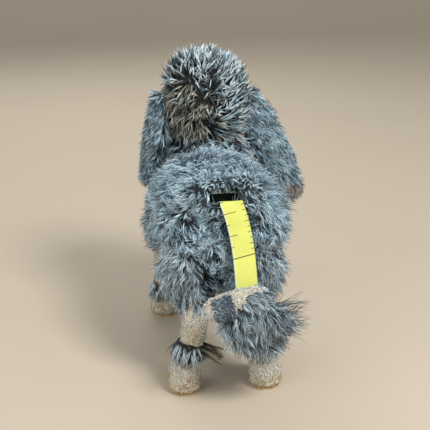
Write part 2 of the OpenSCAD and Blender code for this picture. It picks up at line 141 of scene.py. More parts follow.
def spin(axis: int, angle: float) -> Array:
    """Works out a turn about X, Y or Z.

    Args:
        axis: 0, 1 or 2.
        angle: The angle, counter-clockwise.

    Returns:
        The matrix of the turn.
    """
    a, b = (axis + 1) % 3, (axis + 2) % 3
    matrix = np.eye(3)
    matrix[[a, b], [a, b]] = math.cos(angle)
    matrix[b, a], matrix[a, b] = math.sin(angle), -math.sin(angle)
    return matrix


def along(v: Array, normal: Array) -> Array:
    """Returns the unit part of v that lies in the surface with that normal."""
    return unit(v - normal * (v * normal).sum(-1, keepdims=True))


def box_of(node: str) -> tuple[Array, Array]:
    """Returns the middle and the half sizes of a CAD node's box."""
    low, high = (np.array(corner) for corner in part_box(node))
    return (low + high) / 2, (high - low) / 2


def joint_at(name: str) -> Array:
    """Returns the place of a joint of the frame."""
    return np.array(next(j["pos_m"] for j in frame["joints"] if j["name"] == name))


def paint(code: str) -> tuple[float, float, float, float]:
    """Returns the linear colour of a #rrggbb code."""
    parts = [int(code[i:i + 2], 16) / 255 for i in (1, 3, 5)]
    return (*(p / 12.92 if p <= 0.04045 else ((p + 0.055) / 1.055) ** 2.4 for p in parts), 1.0)


def smooth_through(at: Array, x: Array, y: Array) -> Array:
    """Draws a smooth curve through points, in cubic steps with averaged slopes.

    Args:
        at: Where the curve is read.
        x: Where the points are, rising.
        y: Their values.

    Returns:
        The curve's values.
    """
    slope = np.gradient(y, x)
    i = np.clip(np.searchsorted(x, at) - 1, 0, len(x) - 2)
    h = x[i + 1] - x[i]
    t = np.clip((at - x[i]) / h, 0, 1)
    return ((1 + 2 * t) * (1 - t) ** 2 * y[i] + t * (1 - t) ** 2 * h * slope[i]
            + t * t * (3 - 2 * t) * y[i + 1] - t * t * (1 - t) * h * slope[i + 1])


# ---- Shader parts ----


class Sketch:
    """Short words for building a node tree."""

    def __init__(self, tree: bpy.types.NodeTree) -> None:
        """Clears the tree and keeps it."""
        self.tree = tree
        tree.nodes.clear()

    def add(self, kind: str, wires: dict | None = None, **settings: object) -> bpy.types.Node:
        """Adds a node.

        Args:
            kind: Blender's name of the node type, without ShaderNode.
            wires: Input name or index, and the socket, value or #rrggbb code that it gets.
            **settings: Attributes of the node.

        Returns:
            The new node.
        """
        node = self.tree.nodes.new(kind if kind.startswith("Node") else f"ShaderNode{kind}")
        for key, value in settings.items():
            setattr(node, key, value)
        self.wire(node, wires or {})
        return node

    def wire(self, node: bpy.types.Node, wires: dict) -> None:
        """Sets some of a node's inputs.

        Args:
            node: The node.
            wires: Input name or index, and the socket, value or #rrggbb code that it gets.
        """
        for key, value in wires.items():
            if isinstance(value, Socket):
                self.tree.links.new(value, node.inputs[key])
            else:
                node.inputs[key].default_value = paint(value) if isinstance(value, str) else value

    def sum(self, operation: str, *values: object) -> Socket:
        """Returns the result of a Math node."""
        return self.add("Math", dict(enumerate(values)), operation=operation).outputs[0]

    def mix(self, share: object, a: object, b: object) -> Socket:
        """Returns colour a mixed with colour b by a share, which is held between 0 and 1."""
        return self.add("Mix", {0: share, 6: a, 7: b}, data_type="RGBA").outputs[2]

    def ramp(self, value: Socket, low: object, high: object, top: object = 1.0,
             kind: str = "LINEAR") -> Socket:
        """Returns 0 where the value is at low or before it, and top at high or past it."""
        return self.add("MapRange", {0: value, 1: low, 2: high, 4: top}, interpolation_type=kind).outputs[0]

    def noise(self, place: Socket, scale: object, detail: float = 2.0, rough: float = 0.5) -> Socket:
        """Returns the value of a cloudy noise."""
        wires = {"Vector": place, "Scale": scale, "Detail": detail, "Roughness": rough}
        return self.add("TexNoise", wires).outputs["Fac"]


class Group(Sketch):
    """A shared node group in the making."""

    def __init__(self, name: str, inputs: dict[str, object], outputs: dict[str, str]) -> None:
        """Starts a group.

        Args:
            name: The group's name.
            inputs: Name and start value of each input; None makes a vector and a code makes a colour.
            outputs: Name and socket type of each output.
        """
        tree = bpy.data.node_groups.new(name, "ShaderNodeTree")
        for label, value in inputs.items():
            kind = {str: "Color", float: "Float"}.get(type(value), "Vector")
            socket = tree.interface.new_socket(label, in_out="INPUT", socket_type=f"NodeSocket{kind}")
            if kind == "Float":
                socket.default_value = value
        for label, kind in outputs.items():
            tree.interface.new_socket(label, in_out="OUTPUT", socket_type=f"NodeSocket{kind}")
        super().__init__(tree)
        self.given = self.add("NodeGroupInput").outputs


def hair_tint_group() -> bpy.types.NodeTree:
    """Builds the group that colours a hair from root to tip.

    The hair map's u picks the lock's own shade, cool below one half and warm above, and its v runs
    from root to tip. The dark root is painted shade deep in the coat. The paler a hair is, the more
    its tip takes the tip colour, which is a painted highlight.

    Returns:
        The group.
    """
    inputs = {"Vector": None, **dict.fromkeys(SHADES, "#000000"), "Root length": 0.4, "Tip share": 0.4}
    group = Group("Hair tint", inputs, {"Color": "Color"})
    given = group.given
    u, v = group.add("SeparateXYZ", {0: given["Vector"]}).outputs[:2]
    cool_run = group.sum("MULTIPLY", u, 4.0)
    low = group.mix(cool_run, given["Cool dark"], given["Cool middle"])
    cool_shade = group.mix(group.sum("SUBTRACT", cool_run, 1.0), low, given["Cool pale"])
    warm_run = group.sum("SUBTRACT", group.sum("MULTIPLY", u, 2.0), 1.0)
    warm_shade = group.mix(warm_run, given["Warm dark"], given["Warm pale"])
    shade = group.mix(group.sum("GREATER_THAN", u, 0.5), cool_shade, warm_shade)
    # painted shade: each hair darkens from its shade to the root colour towards its root
    hair = group.mix(group.ramp(v, 0.05, given["Root length"], kind="SMOOTHSTEP"), given["Root"], shade)
    # painted highlight: paler hairs take more of the tip colour towards their tips
    paleness = group.sum("FRACT", group.sum("MULTIPLY", u, 2.0))
    tip = group.sum("MULTIPLY", group.ramp(v, 0.55, 1.0, kind="SMOOTHSTEP"), paleness)
    tip = group.sum("MULTIPLY", tip, given["Tip share"])
    group.add("NodeGroupOutput", {"Color": group.mix(tip, hair, given["Tip"])})
    return group.tree


def nap_group() -> bpy.types.NodeTree:
    """Builds the group of short curly plush: knots of pile, and a slower mottling.

    Returns:
        The group.
    """
    group = Group("Curly nap", {"Vector": None, "Knot size": 0.0008, "Mottle size": 0.006},
                  {"Height": "Float", "Depth": "Float", "Mottle": "Float"})
    place, knot, mottling = group.given[:3]
    wires = {"Vector": place, "Scale": group.sum("DIVIDE", 1.0, knot)}
    depth = group.ramp(group.add("TexVoronoi", wires).outputs["Distance"], 0.15, 0.75)
    fuzz = group.noise(place, group.sum("DIVIDE", 0.7, knot), detail=3.0)
    slow = group.noise(place, group.sum("DIVIDE", 1.0, mottling))
    group.add("NodeGroupOutput", {"Height": group.sum("SUBTRACT", fuzz, depth), "Depth": depth,
                                  "Mottle": group.ramp(slow, 0.35, 0.65)})
    return group.tree


def grime_group() -> bpy.types.NodeTree:
    """Builds the group of age: cloudy stains with soft edges.

    Returns:
        The group.
    """
    group = Group("Grime", {"Vector": None, "Size": 0.01, "Amount": 0.5}, {"Mask": "Float"})
    place, size, amount = group.given[:3]
    cloud = group.noise(place, group.sum("DIVIDE", 1.0, size), detail=5.0, rough=0.6)
    group.add("NodeGroupOutput", {"Mask": group.ramp(cloud, 0.45, 0.75, amount)})
    return group.tree


GROUPS = {"hair": hair_tint_group(), "nap": nap_group(), "grime": grime_group()}


class Dressing(Sketch):
    """One material in the making: its node tree, its shader and the place that its patterns read."""

    def __init__(self, name: str, **constants: float) -> None:
        """Starts a material.

        Args:
            name: The material's name.
            **constants: Socket values of the shader, named with underscores.
        """
        material = bpy.data.materials.new(name)
        material.use_nodes = True
        super().__init__(material.node_tree)
        self.shader = self.add("BsdfPrincipled")
        self.add("OutputMaterial", {0: self.shader.outputs[0]})
        self.wire(self.shader, {key.replace("_", " "): value for key, value in constants.items()})
        self.place = self.add("TexCoord").outputs["Object"]

    def colour(self, share: Socket, a: object, b: object) -> None:
        """Feeds a mix of two colours into the shader."""
        self.wire(self.shader, {"Base Color": self.mix(share, a, b)})

    def stretched(self, scale: tuple[float, float, float]) -> Socket:
        """Returns the place, scaled along each axis."""
        return self.add("Mapping", {"Vector": self.place, "Scale": scale}).outputs[0]

    def nap(self, knot: float, mottling: float = 6.0) -> bpy.types.bpy_prop_collection:
        """Places the nap group, with its sizes in millimetres, and returns its outputs."""
        wires = {"Vector": self.place, "Knot size": knot * MM, "Mottle size": mottling * MM}
        return self.placed("nap", wires)

    def grime(self, size: float, amount: float) -> Socket:
        """Places the grime group, with its size in millimetres, and returns its mask."""
        return self.placed("grime", {"Vector": self.place, "Size": size * MM, "Amount": amount})["Mask"]

    def placed(self, key: str, wires: dict) -> bpy.types.bpy_prop_collection:
        """Places a shared group and returns its outputs."""
        return self.add("Group", wires, node_tree=GROUPS[key]).outputs

    def relief(self, height: Socket, depth: float, strength: float = 1.0) -> None:
        """Feeds a bump of that height, with its depth in millimetres, into the shader."""
        bump = self.add("Bump", {"Height": height, "Distance": depth * MM, "Strength": strength})
        self.wire(self.shader, {"Normal": bump.outputs[0]})


# ---- Finishes ----


@dataclass(frozen=True)
class HairFinish:
    """Mohair: a dark root that is painted shade in the coat, cool or warm shades for the rest of each
    hair, and a tip colour that is a painted highlight.
    """

    name: str
    # root and root_length give each hair's painted shade at its root; tip and tip_share give its painted
    # highlight
    root: str
    cool: tuple[str, str, str]
    warm: tuple[str, str] = ("#5d5648", "#bdaa98")
    tip: str = "#f2fbff"
    root_length: float = 0.45
    tip_share: float = 0.35
    sheen: float = 0.15

    def build(self) -> None:
        """Builds the material."""
        made = Dressing(self.name, Roughness=0.62, Sheen_Weight=self.sheen, Sheen_Roughness=0.4,
                        Specular_IOR_Level=0.25)
        shades = zip(SHADES, (self.root, *self.cool, *self.warm, self.tip))
        tint = made.placed("hair", {"Vector": made.add("UVMap", uv_map=HAIR_MAP).outputs[0], **dict(shades),
                                    "Root length": self.root_length, "Tip share": self.tip_share})
        made.wire(made.shader, {"Base Color": tint["Color"]})


@dataclass(frozen=True)
class NapFinish:
    """Short curly plush whose pits between its knots are painted darker as shade; the knot size is in
    millimetres.
    """

    name: str
    pale: str
    pit_shade: str
    stain: str
    knot: float = 0.9

    def build(self) -> None:
        """Builds the material."""
        made = Dressing(self.name, Roughness=0.9, Sheen_Weight=0.3, Sheen_Roughness=0.5)
        nap = made.nap(self.knot)
        # painted shade: the pits between the knots take the darker colour
        pile = made.mix(nap["Depth"], self.pale, self.pit_shade)
        made.colour(made.grime(size=9, amount=0.75), pile, self.stain)
        made.relief(nap["Height"], depth=0.5)


@dataclass(frozen=True)
class BackingFinish:
    """Woven ground under long hair, painted dark as the shade between the hairs."""

    name: str
    dark: str
    pale: str

    def build(self) -> None:
        """Builds the material."""
        made = Dressing(self.name, Roughness=0.95)
        nap = made.nap(knot=1.6, mottling=9)
        made.colour(nap["Mottle"], self.dark, self.pale)
        made.relief(nap["Height"], depth=0.5)


@dataclass(frozen=True)
class SkullFinish:
    """Cream plush that is dark where the topknot grows."""

    # Cream plush, darker in the pits between its knots and near black where the topknot grows, both painted
    # shade.
    name: str
    pale: str
    pit_shade: str
    dark: str

    def build(self) -> None:
        """Builds the material."""
        made = Dressing(self.name, Roughness=0.9)
        nap = made.nap(knot=0.9)
        haired = made.add("Attribute", attribute_name="haired").outputs["Fac"]
        # painted shade: dark under the topknot's hair, and darker in the pits
        made.colour(haired, made.mix(nap["Depth"], self.pale, self.pit_shade), self.dark)
        made.relief(nap["Height"], depth=0.4)


@dataclass(frozen=True)
class MetalFinish:
    """Pressed metal with fine drawing lines and dull stains."""

    name: str
    bright: str
    stain: str
    rough: float = 0.35
    metallic: float = 1.0

    def build(self) -> None:
        """Builds the material."""
        made = Dressing(self.name, Metallic=self.metallic)
        lines = made.noise(made.stretched((300.0, 9000.0, 9000.0)), 1.0)
        grime = made.grime(size=4, amount=0.8)
        made.colour(grime, self.bright, self.stain)
        rough = made.sum("MULTIPLY_ADD", lines, 0.2, self.rough - 0.1)
        made.wire(made.shader, {"Roughness": made.sum("ADD", rough, made.sum("MULTIPLY", grime, 0.3))})


@dataclass(frozen=True)
class BoardFinish:
    """Pressed fibre, wood wool or waxed thread: streaks in one direction."""

    name: str
    ground: str
    streak: str
    stretch: tuple[float, float, float] = (1200.0, 250.0, 1200.0)

    def build(self) -> None:
        """Builds the material."""
        made = Dressing(self.name, Roughness=0.85)
        streaks = made.noise(made.stretched(self.stretch), 1.0, detail=4.0)
        made.colour(streaks, self.ground, self.streak)
        made.relief(streaks, depth=0.2)


@dataclass(frozen=True)
class TapeFinish:
    """Printed cloth: weave, a pale edge, inch ticks on the left and eighths on the right.

    Attributes:
        name: The material's name.
        zero: Distance from the tape's end to its zero line.
        tick: Half the width of a tick, in inches.
        line: Half the width of the zero line, in inches.
        edge: Width of the pale edge, as a share of the tape's.
    """

    name: str
    zero: float
    tick: float = 0.0085
    line: float = 0.012
    edge: float = 0.09

    def build(self) -> None:
        """Builds the material."""
        made = Dressing(self.name, Roughness=0.5, Specular_IOR_Level=0.4)
        sums = made.sum
        marks = made.add("UVMap", uv_map=TAPE_MAP).outputs[0]
        u, v = made.add("SeparateXYZ", {0: marks}).outputs[:2]
        inches = sums("SUBTRACT", sums("MULTIPLY", v, MAP_LENGTH / INCH), self.zero / INCH)

        def ticks(step: float, reach: float, right: bool) -> Socket:
            """Masks one family of ticks.

            Args:
                step: Inches from tick to tick.
                reach: Length of a tick, as a share of the tape's width.
                right: Whether it starts at the right edge.

            Returns:
                1 on the ticks.
            """
            phase = sums("FRACT", sums("ADD", sums("DIVIDE", inches, step), 0.5))
            near = sums("LESS_THAN", sums("ABSOLUTE", sums("SUBTRACT", phase, 0.5)), self.tick / step)
            inside = sums("GREATER_THAN" if right else "LESS_THAN", u, 1 - reach if right else reach)
            return sums("MULTIPLY", near, inside)

        mask = ticks(1.0, 0.56, False)
        for family in ((0.5, 0.36, False), (0.25, 0.14, False), (0.125, 0.12, True), (0.25, 0.18, True)):
            mask = sums("MAXIMUM", mask, ticks(*family))
        mask = sums("MULTIPLY", mask, sums("GREATER_THAN", inches, 0.04))
        mask = sums("MAXIMUM", mask, sums("LESS_THAN", sums("ABSOLUTE", inches), self.line))
        cloth = made.mix(made.grime(size=7, amount=0.4), "#d4d869", "#c3c05b")
        cloth = made.mix(sums("MULTIPLY", made.ramp(u, self.edge, 0.05), 0.75), cloth, "#dfe6d4")
        made.colour(sums("MULTIPLY", mask, 0.9), cloth, "#2b3116")
        weave = made.add("TexWave", {"Vector": made.place, "Scale": 900.0, "Distortion": 0.5},
                         bands_direction="Z")
        made.relief(weave.outputs["Fac"], depth=0.06, strength=0.5)


@dataclass(frozen=True)
class GlassFinish:
    """Amber glass with a round black pupil that faces forward.

    Attributes:
        name: The material's name.
        middle: X halfway between the eyes.
        aside: Distance of each eye from there.
        height: Height of the eyes.
        pupil: Radius of the pupil.
    """

    name: str
    middle: float
    aside: float
    height: float
    pupil: float = 2.0 * MM

    def build(self) -> None:
        """Builds the material."""
        made = Dressing(self.name, Roughness=0.06, Coat_Weight=1.0, Coat_Roughness=0.03)
        x, _, z = made.add("SeparateXYZ", {0: made.place}).outputs
        aside = made.sum("SUBTRACT", made.sum("ABSOLUTE", made.sum("SUBTRACT", x, self.middle)), self.aside)
        rise = made.sum("SUBTRACT", z, self.height)
        squares = made.sum("ADD", made.sum("MULTIPLY", aside, aside), made.sum("MULTIPLY", rise, rise))
        pupil = made.ramp(made.sum("SQRT", squares), self.pupil + 0.3 * MM, self.pupil)
        made.colour(pupil, "#5c3210", "#040404")


@dataclass(frozen=True)
class TableFinish:
    """A plain pale table top with broad faint clouds."""

    name: str
    pale: str
    dull: str

    def build(self) -> None:
        """Builds the material."""
        made = Dressing(self.name, Roughness=0.85)
        made.colour(made.grime(size=200, amount=0.2), self.pale, self.dull)


FINISHES = (
    TableFinish("Pale table", "#c5b7a3", "#bbab95"),
    HairFinish("Grey mohair", "#070d10", ("#1d2d37", "#84aabd", "#e2f6ff"), tip="#e6f7ff",
               root_length=0.55, tip_share=0.9),
    # a less blue copy of Grey mohair for tail, pom, thighs and knees: painted shade for the lower parts,
    # which the blue light from above does not reach
    HairFinish("Sooty mohair", "#070c0f", ("#1e2a32", "#87a2b0", "#e2f3fa"), tip="#eff7f9",
               root_length=0.55, tip_share=0.9),
    # near black short hair under the topknot: painted shade between the long hairs
    HairFinish("Dark underfur", "#050708", ("#0b1012", "#161e21", "#323e43"), ("#12130d", "#2b2c20"),
               tip_share=0.0),
    # a paler copy of Grey mohair with a shorter dark root for the ankle poms, which hang in shadow: painted
    # light
    HairFinish("Ankle mohair", "#1c2326", ("#2a3337", "#95a6ae", "#e3f0f5"), root_length=0.25, tip_share=0.7),
    HairFinish("Coarse crown mohair", "#07090b", ("#11191c", "#6f8d99", "#e8f7fb"), ("#1b1d14", "#b2b5a0"),
               root_length=0.5, tip_share=1.0),
    HairFinish("Dark mohair", "#0d1216", ("#26323b", "#667a87", "#b5c8d2"), ("#55503f", "#a59c80"),
               root_length=0.6, tip_share=0.3),
    HairFinish("Cream fuzz", "#8f8c7b", ("#a3a296", "#dddccf", "#ffffff"), ("#b98f52", "#e6d3a6"),
               tip="#ffffff", root_length=0.8, sheen=0.1),
    # a dark ground under the hair: painted shade between the hairs
    BackingFinish("Dark backing", "#11171b", "#2b353b"),
    NapFinish("Cream plush", "#f7f4e8", "#97907c", "#dccda4"),
    NapFinish("Worn golden sole", "#e0bd82", "#a57c45", "#8d6433", knot=1.1),
    SkullFinish("Skull plush", "#ddd7c0", "#9a9078", "#0b0e0f"),
    MetalFinish("Japanned mouth", "#354343", "#1b1e19", rough=0.5, metallic=0.55),
    MetalFinish("Bright steel", "#a8adb2", "#5b5850"),
    MetalFinish("Blued spring steel", "#46505e", "#2a2c30", rough=0.3),
    MetalFinish("Brass rivet", "#b8935a", "#6e5630"),
    BoardFinish("Moulded spool", "#cfc6a6", "#b5ab88", (60, 60, 60)),
    BoardFinish("Wood wool", "#d7bf86", "#9c7f48", (900.0, 260.0, 700.0)),
    BoardFinish("Pressed fibre", "#8a6844", "#5d432a"),
    BoardFinish("Wound tape edge", "#d9c92f", "#8d8420", (200.0, 4000.0, 4000.0)),
    BoardFinish("Waxed black thread", "#171513", "#2d2925", (2500.0, 2500.0, 300.0)),
)
WORKS = {
    ("joint_disc", "joint_discs"): "Pressed fibre",
    ("joint_pin", "washers", "case_left", "case_right", "spool_arbor"): "Bright steel",
    ("stuffing",): "Wood wool",
    ("tape_mouth",): "Japanned mouth",
    ("mainspring",): "Blued spring steel",
    ("case_rivets",): "Brass rivet",
    ("spool",): "Moulded spool",
    ("wound_tape",): "Wound tape edge",
    ("nose", "mouth_stitches"): "Waxed black thread",
    ("sole",): "Worn golden sole",
}


# ---- Meshes ----


def read(items: bpy.types.bpy_prop_collection, key: str, width: int, kind: type = float) -> Array:
    """Reads a property of many items at once.

    Args:
        items: The items, such as a mesh's vertices.
        key: The property.
        width: How many numbers each item has.
        kind: Type of the numbers.

    Returns:
        One row for each item.
    """
    values = np.empty(len(items) * width, kind)
    items.foreach_get(key, values)
    return values.reshape(-1, width)


@dataclass
class Skin:
    """A surface that hair grows from: its corners, their normals and its triangles."""

    points: Array
    normals: Array
    triangles: Array

    @classmethod
    def of(cls, piece: Piece) -> "Skin":
        """Reads the skin of a finished piece.

        Args:
            piece: The piece.

        Returns:
            Its skin.
        """
        mesh = piece.data
        mesh.calc_loop_triangles()
        triangles = read(mesh.loop_triangles, "vertices", 3, int)
        return cls(read(mesh.vertices, "co", 3), read(mesh.vertices, "normal", 3), triangles)

    def where(self, test: Callable[[Array, Array], Array]) -> "Skin":
        """Takes a part of the skin.

        Args:
            test: Tells from the middles and normals of triangles which ones to keep.

        Returns:
            The skin of those triangles.
        """
        middle = self.points[self.triangles].mean(1)
        normal = unit(self.normals[self.triangles].mean(1))
        return Skin(self.points, self.normals, self.triangles[test(middle, normal)])

    def sample(self, count: int, rng: np.random.Generator) -> tuple[Array, Array]:
        """Spreads points evenly over the skin.

        Args:
            count: How many points.
            rng: Source of chance.

        Returns:
            The points and their normals.
        """
        a, b, c = (self.points[self.triangles[:, i]] for i in range(3))
        area = np.linalg.norm(np.cross(b - a, c - a), axis=1)
        # evenly spaced steps through the summed area, each shifted by chance, keep gaps small
        steps = (np.arange(count) + rng.random(count)) / count * area.sum()
        rows = self.triangles[np.searchsorted(np.cumsum(area), steps).clip(0, len(area) - 1)]
        s, t = np.sqrt(rng.random((count, 1))), rng.random((count, 1))
        weights = np.concatenate([1 - s, s * (1 - t), s * t], 1)[..., None]
        return (self.points[rows] * weights).sum(1), unit((self.normals[rows] * weights).sum(1))


def mesh_piece(name: str, points: Array, *faces: Array, hair_map: Array | None = None) -> Piece:
    """Makes a smooth mesh piece from whole arrays.

    Args:
        name: The piece's name.
        points: Corner places, with x, y and z last.
        *faces: Corner numbers, one row for each face.
        hair_map: u and v of each corner, or None for no map.

    Returns:
        The new piece.
    """
    points = points.reshape(-1, 3)
    corners = np.concatenate([rows.ravel() for rows in faces])
    sizes = np.concatenate([np.full(len(rows), rows.shape[1]) for rows in faces])
    mesh = bpy.data.meshes.new(name)
    mesh.vertices.add(len(points))
    mesh.vertices.foreach_set("co", np.ascontiguousarray(points, np.float32).ravel())
    mesh.loops.add(len(corners))
    mesh.loops.foreach_set("vertex_index", corners.astype(np.int32))
    mesh.polygons.add(len(sizes))
    mesh.polygons.foreach_set("loop_start", (np.cumsum(sizes) - sizes).astype(np.int32))
    mesh.polygons.foreach_set("use_smooth", np.ones(len(sizes), bool))
    mesh.update(calc_edges=True)
    if hair_map is not None:
        layer = mesh.uv_layers.new(name=HAIR_MAP)
        layer.uv.foreach_set("vector", hair_map[corners].astype(np.float32).ravel())
    piece = bpy.data.objects.new(name, mesh)
    bpy.context.scene.collection.objects.link(piece)
    return piece


def loft(name: str, rings: Array, hoop: bool = False) -> Piece:
    """Skins a row of closed rings with quads and closes both ends with a pole.

    Args:
        name: The piece's name.
        rings: The rings, (rows, columns, 3), counter-clockwise seen from the last ring's side.
        hoop: Joins the last ring to the first one instead of closing both ends.

    Returns:
        The new closed piece.
    """
    rows, columns = rings.shape[:2]
    number = np.arange(rows * columns).reshape(rows, columns)
    beside = np.roll(number, -1, axis=1)
    quads = np.stack([number, beside, np.roll(beside, -1, axis=0), np.roll(number, -1, axis=0)], -1)
    if hoop:
        return mesh_piece(name, rings, quads.reshape(-1, 4))
    first, last = np.full(columns, number.size), np.full(columns, number.size + 1)
    caps = np.concatenate([np.stack([beside[0], number[0], first], -1),
                           np.stack([number[-1], beside[-1], last], -1)])
    points = np.concatenate([rings.reshape(-1, 3), rings[0].mean(0)[None], rings[-1].mean(0)[None]])
    return mesh_piece(name, points, quads[:-1].reshape(-1, 4), caps)


def turned_form(profile: Array, columns: int) -> Array:
    """Turns a profile of radius and height about +Z into rings, (rows, columns, 3)."""
    angle = around(columns)
    return profile[:, None, [0, 0, 1]] * np.stack([np.cos(angle), np.sin(angle), np.ones(columns)], -1)


def blunt_profile(radius: float, half: float, bluntness: float, rows: int) -> Array:
    """Returns radius and height of a superellipse from its lowest to its highest point."""
    angle = np.linspace(-0.97, 0.97, rows) * math.pi / 2
    return np.stack([radius * np.cos(angle) ** (2 / bluntness),
                     half * np.sign(angle) * np.abs(np.sin(angle)) ** (2 / bluntness)], -1)


def stuff(piece: Piece, cap: float) -> None:
    """Fills a closed skin like a stuffed toy, as cloth under pressure from inside.

    Args:
        piece: The sewn skin, closed.
        cap: The most that a point may move, in millimetres.
    """
    before = read(piece.data.vertices, "co", 3)
    cloth = piece.modifiers.new("Filling", "CLOTH")
    cloth.settings.quality = 4
    cloth.settings.mass = 0.1
    cloth.settings.use_pressure = True
    cloth.settings.uniform_pressure_force = 4.0
    cloth.settings.tension_stiffness = 12
    cloth.settings.bending_stiffness = 0.2
    cloth.settings.effector_weights.gravity = 0
    for step in range(1, 13):
        bpy.context.scene.frame_set(step)
    shown = piece.evaluated_get(bpy.context.evaluated_depsgraph_get())
    move = read(shown.data.vertices, "co", 3) - before
    piece.modifiers.remove(cloth)
    bpy.context.scene.frame_set(1)
    length = np.linalg.norm(move, axis=1, keepdims=True)
    move *= np.minimum(1.0, cap * MM / np.maximum(length, TINY))
    piece.data.vertices.foreach_set("co", (before + move).ravel())
    piece.data.update()


def dress(piece: Piece, body: str, finish: str, slot: str, *nodes: str) -> None:
    """Dresses a piece.

    Args:
        piece: The piece.
        body: The body that it rides on.
        finish: Name of its material.
        slot: Its material slot; not used.
        *nodes: The CAD nodes that it stands for.
    """
    piece.data.materials.append(bpy.data.materials[finish])
    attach(piece, body)
    if nodes:
        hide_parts(*nodes)
    log.info("%s: %d faces, rides on %s", piece.name, len(piece.data.polygons), body)


def refinish(node: str, finish: str) -> None:
    """Gives a CAD node a material in place of its own."""
    frame["nodes"][node].data.materials.clear()
    frame["nodes"][node].data.materials.append(bpy.data.materials[finish])


# ---- Mohair ----

# twice the radius of the skin's curve, by which the outer roots of a lock sink
SKIN_CURVE = 30 * MM
# spreads of the hairs' lift and of their place on the lock's curl, in radians
LIFT_SPREAD, PHASE_SPREAD = 0.12, 0.35
# share of the curl's width that it has off the skin
CURL_RISE = 0.8


@dataclass
class Style:
    """How hair lies at some points; each part is one value for all of them or one for each.

    Attributes:
        comb: Where the hair is combed to.
        length: Its length, as a share of its coat's.
        shade: Its shade, cool below one half and warm above.
        lift: How far it stands off the skin.
    """

    comb: Array | list[float]
    length: Array | float
    shade: Array | float
    lift: Array | float


Groom = Callable[[Array, Array], Style]
Guard = Callable[[Array], Array]


def strand_faces(rings: int) -> Array:
    """Works out the triangles of one three-sided hair.

    Args:
        rings: Cross-sections of the hair before its tip, which is its last point.

    Returns:
        Corner numbers, one row for each triangle.
    """
    ring = np.arange(rings - 1)[:, None, None] * 3
    side = np.array([[[i, (i + 1) % 3, (i + 1) % 3 + 3], [i, (i + 1) % 3 + 3, i + 3]] for i in range(3)])
    walls = (side.reshape(1, 6, 3) + ring).reshape(-1, 3)
    last = 3 * (rings - 1)
    end = np.array([[last + i, last + (i + 1) % 3, last + 3] for i in range(3)])
    return np.concatenate([[[0, 2, 1]], walls, end])


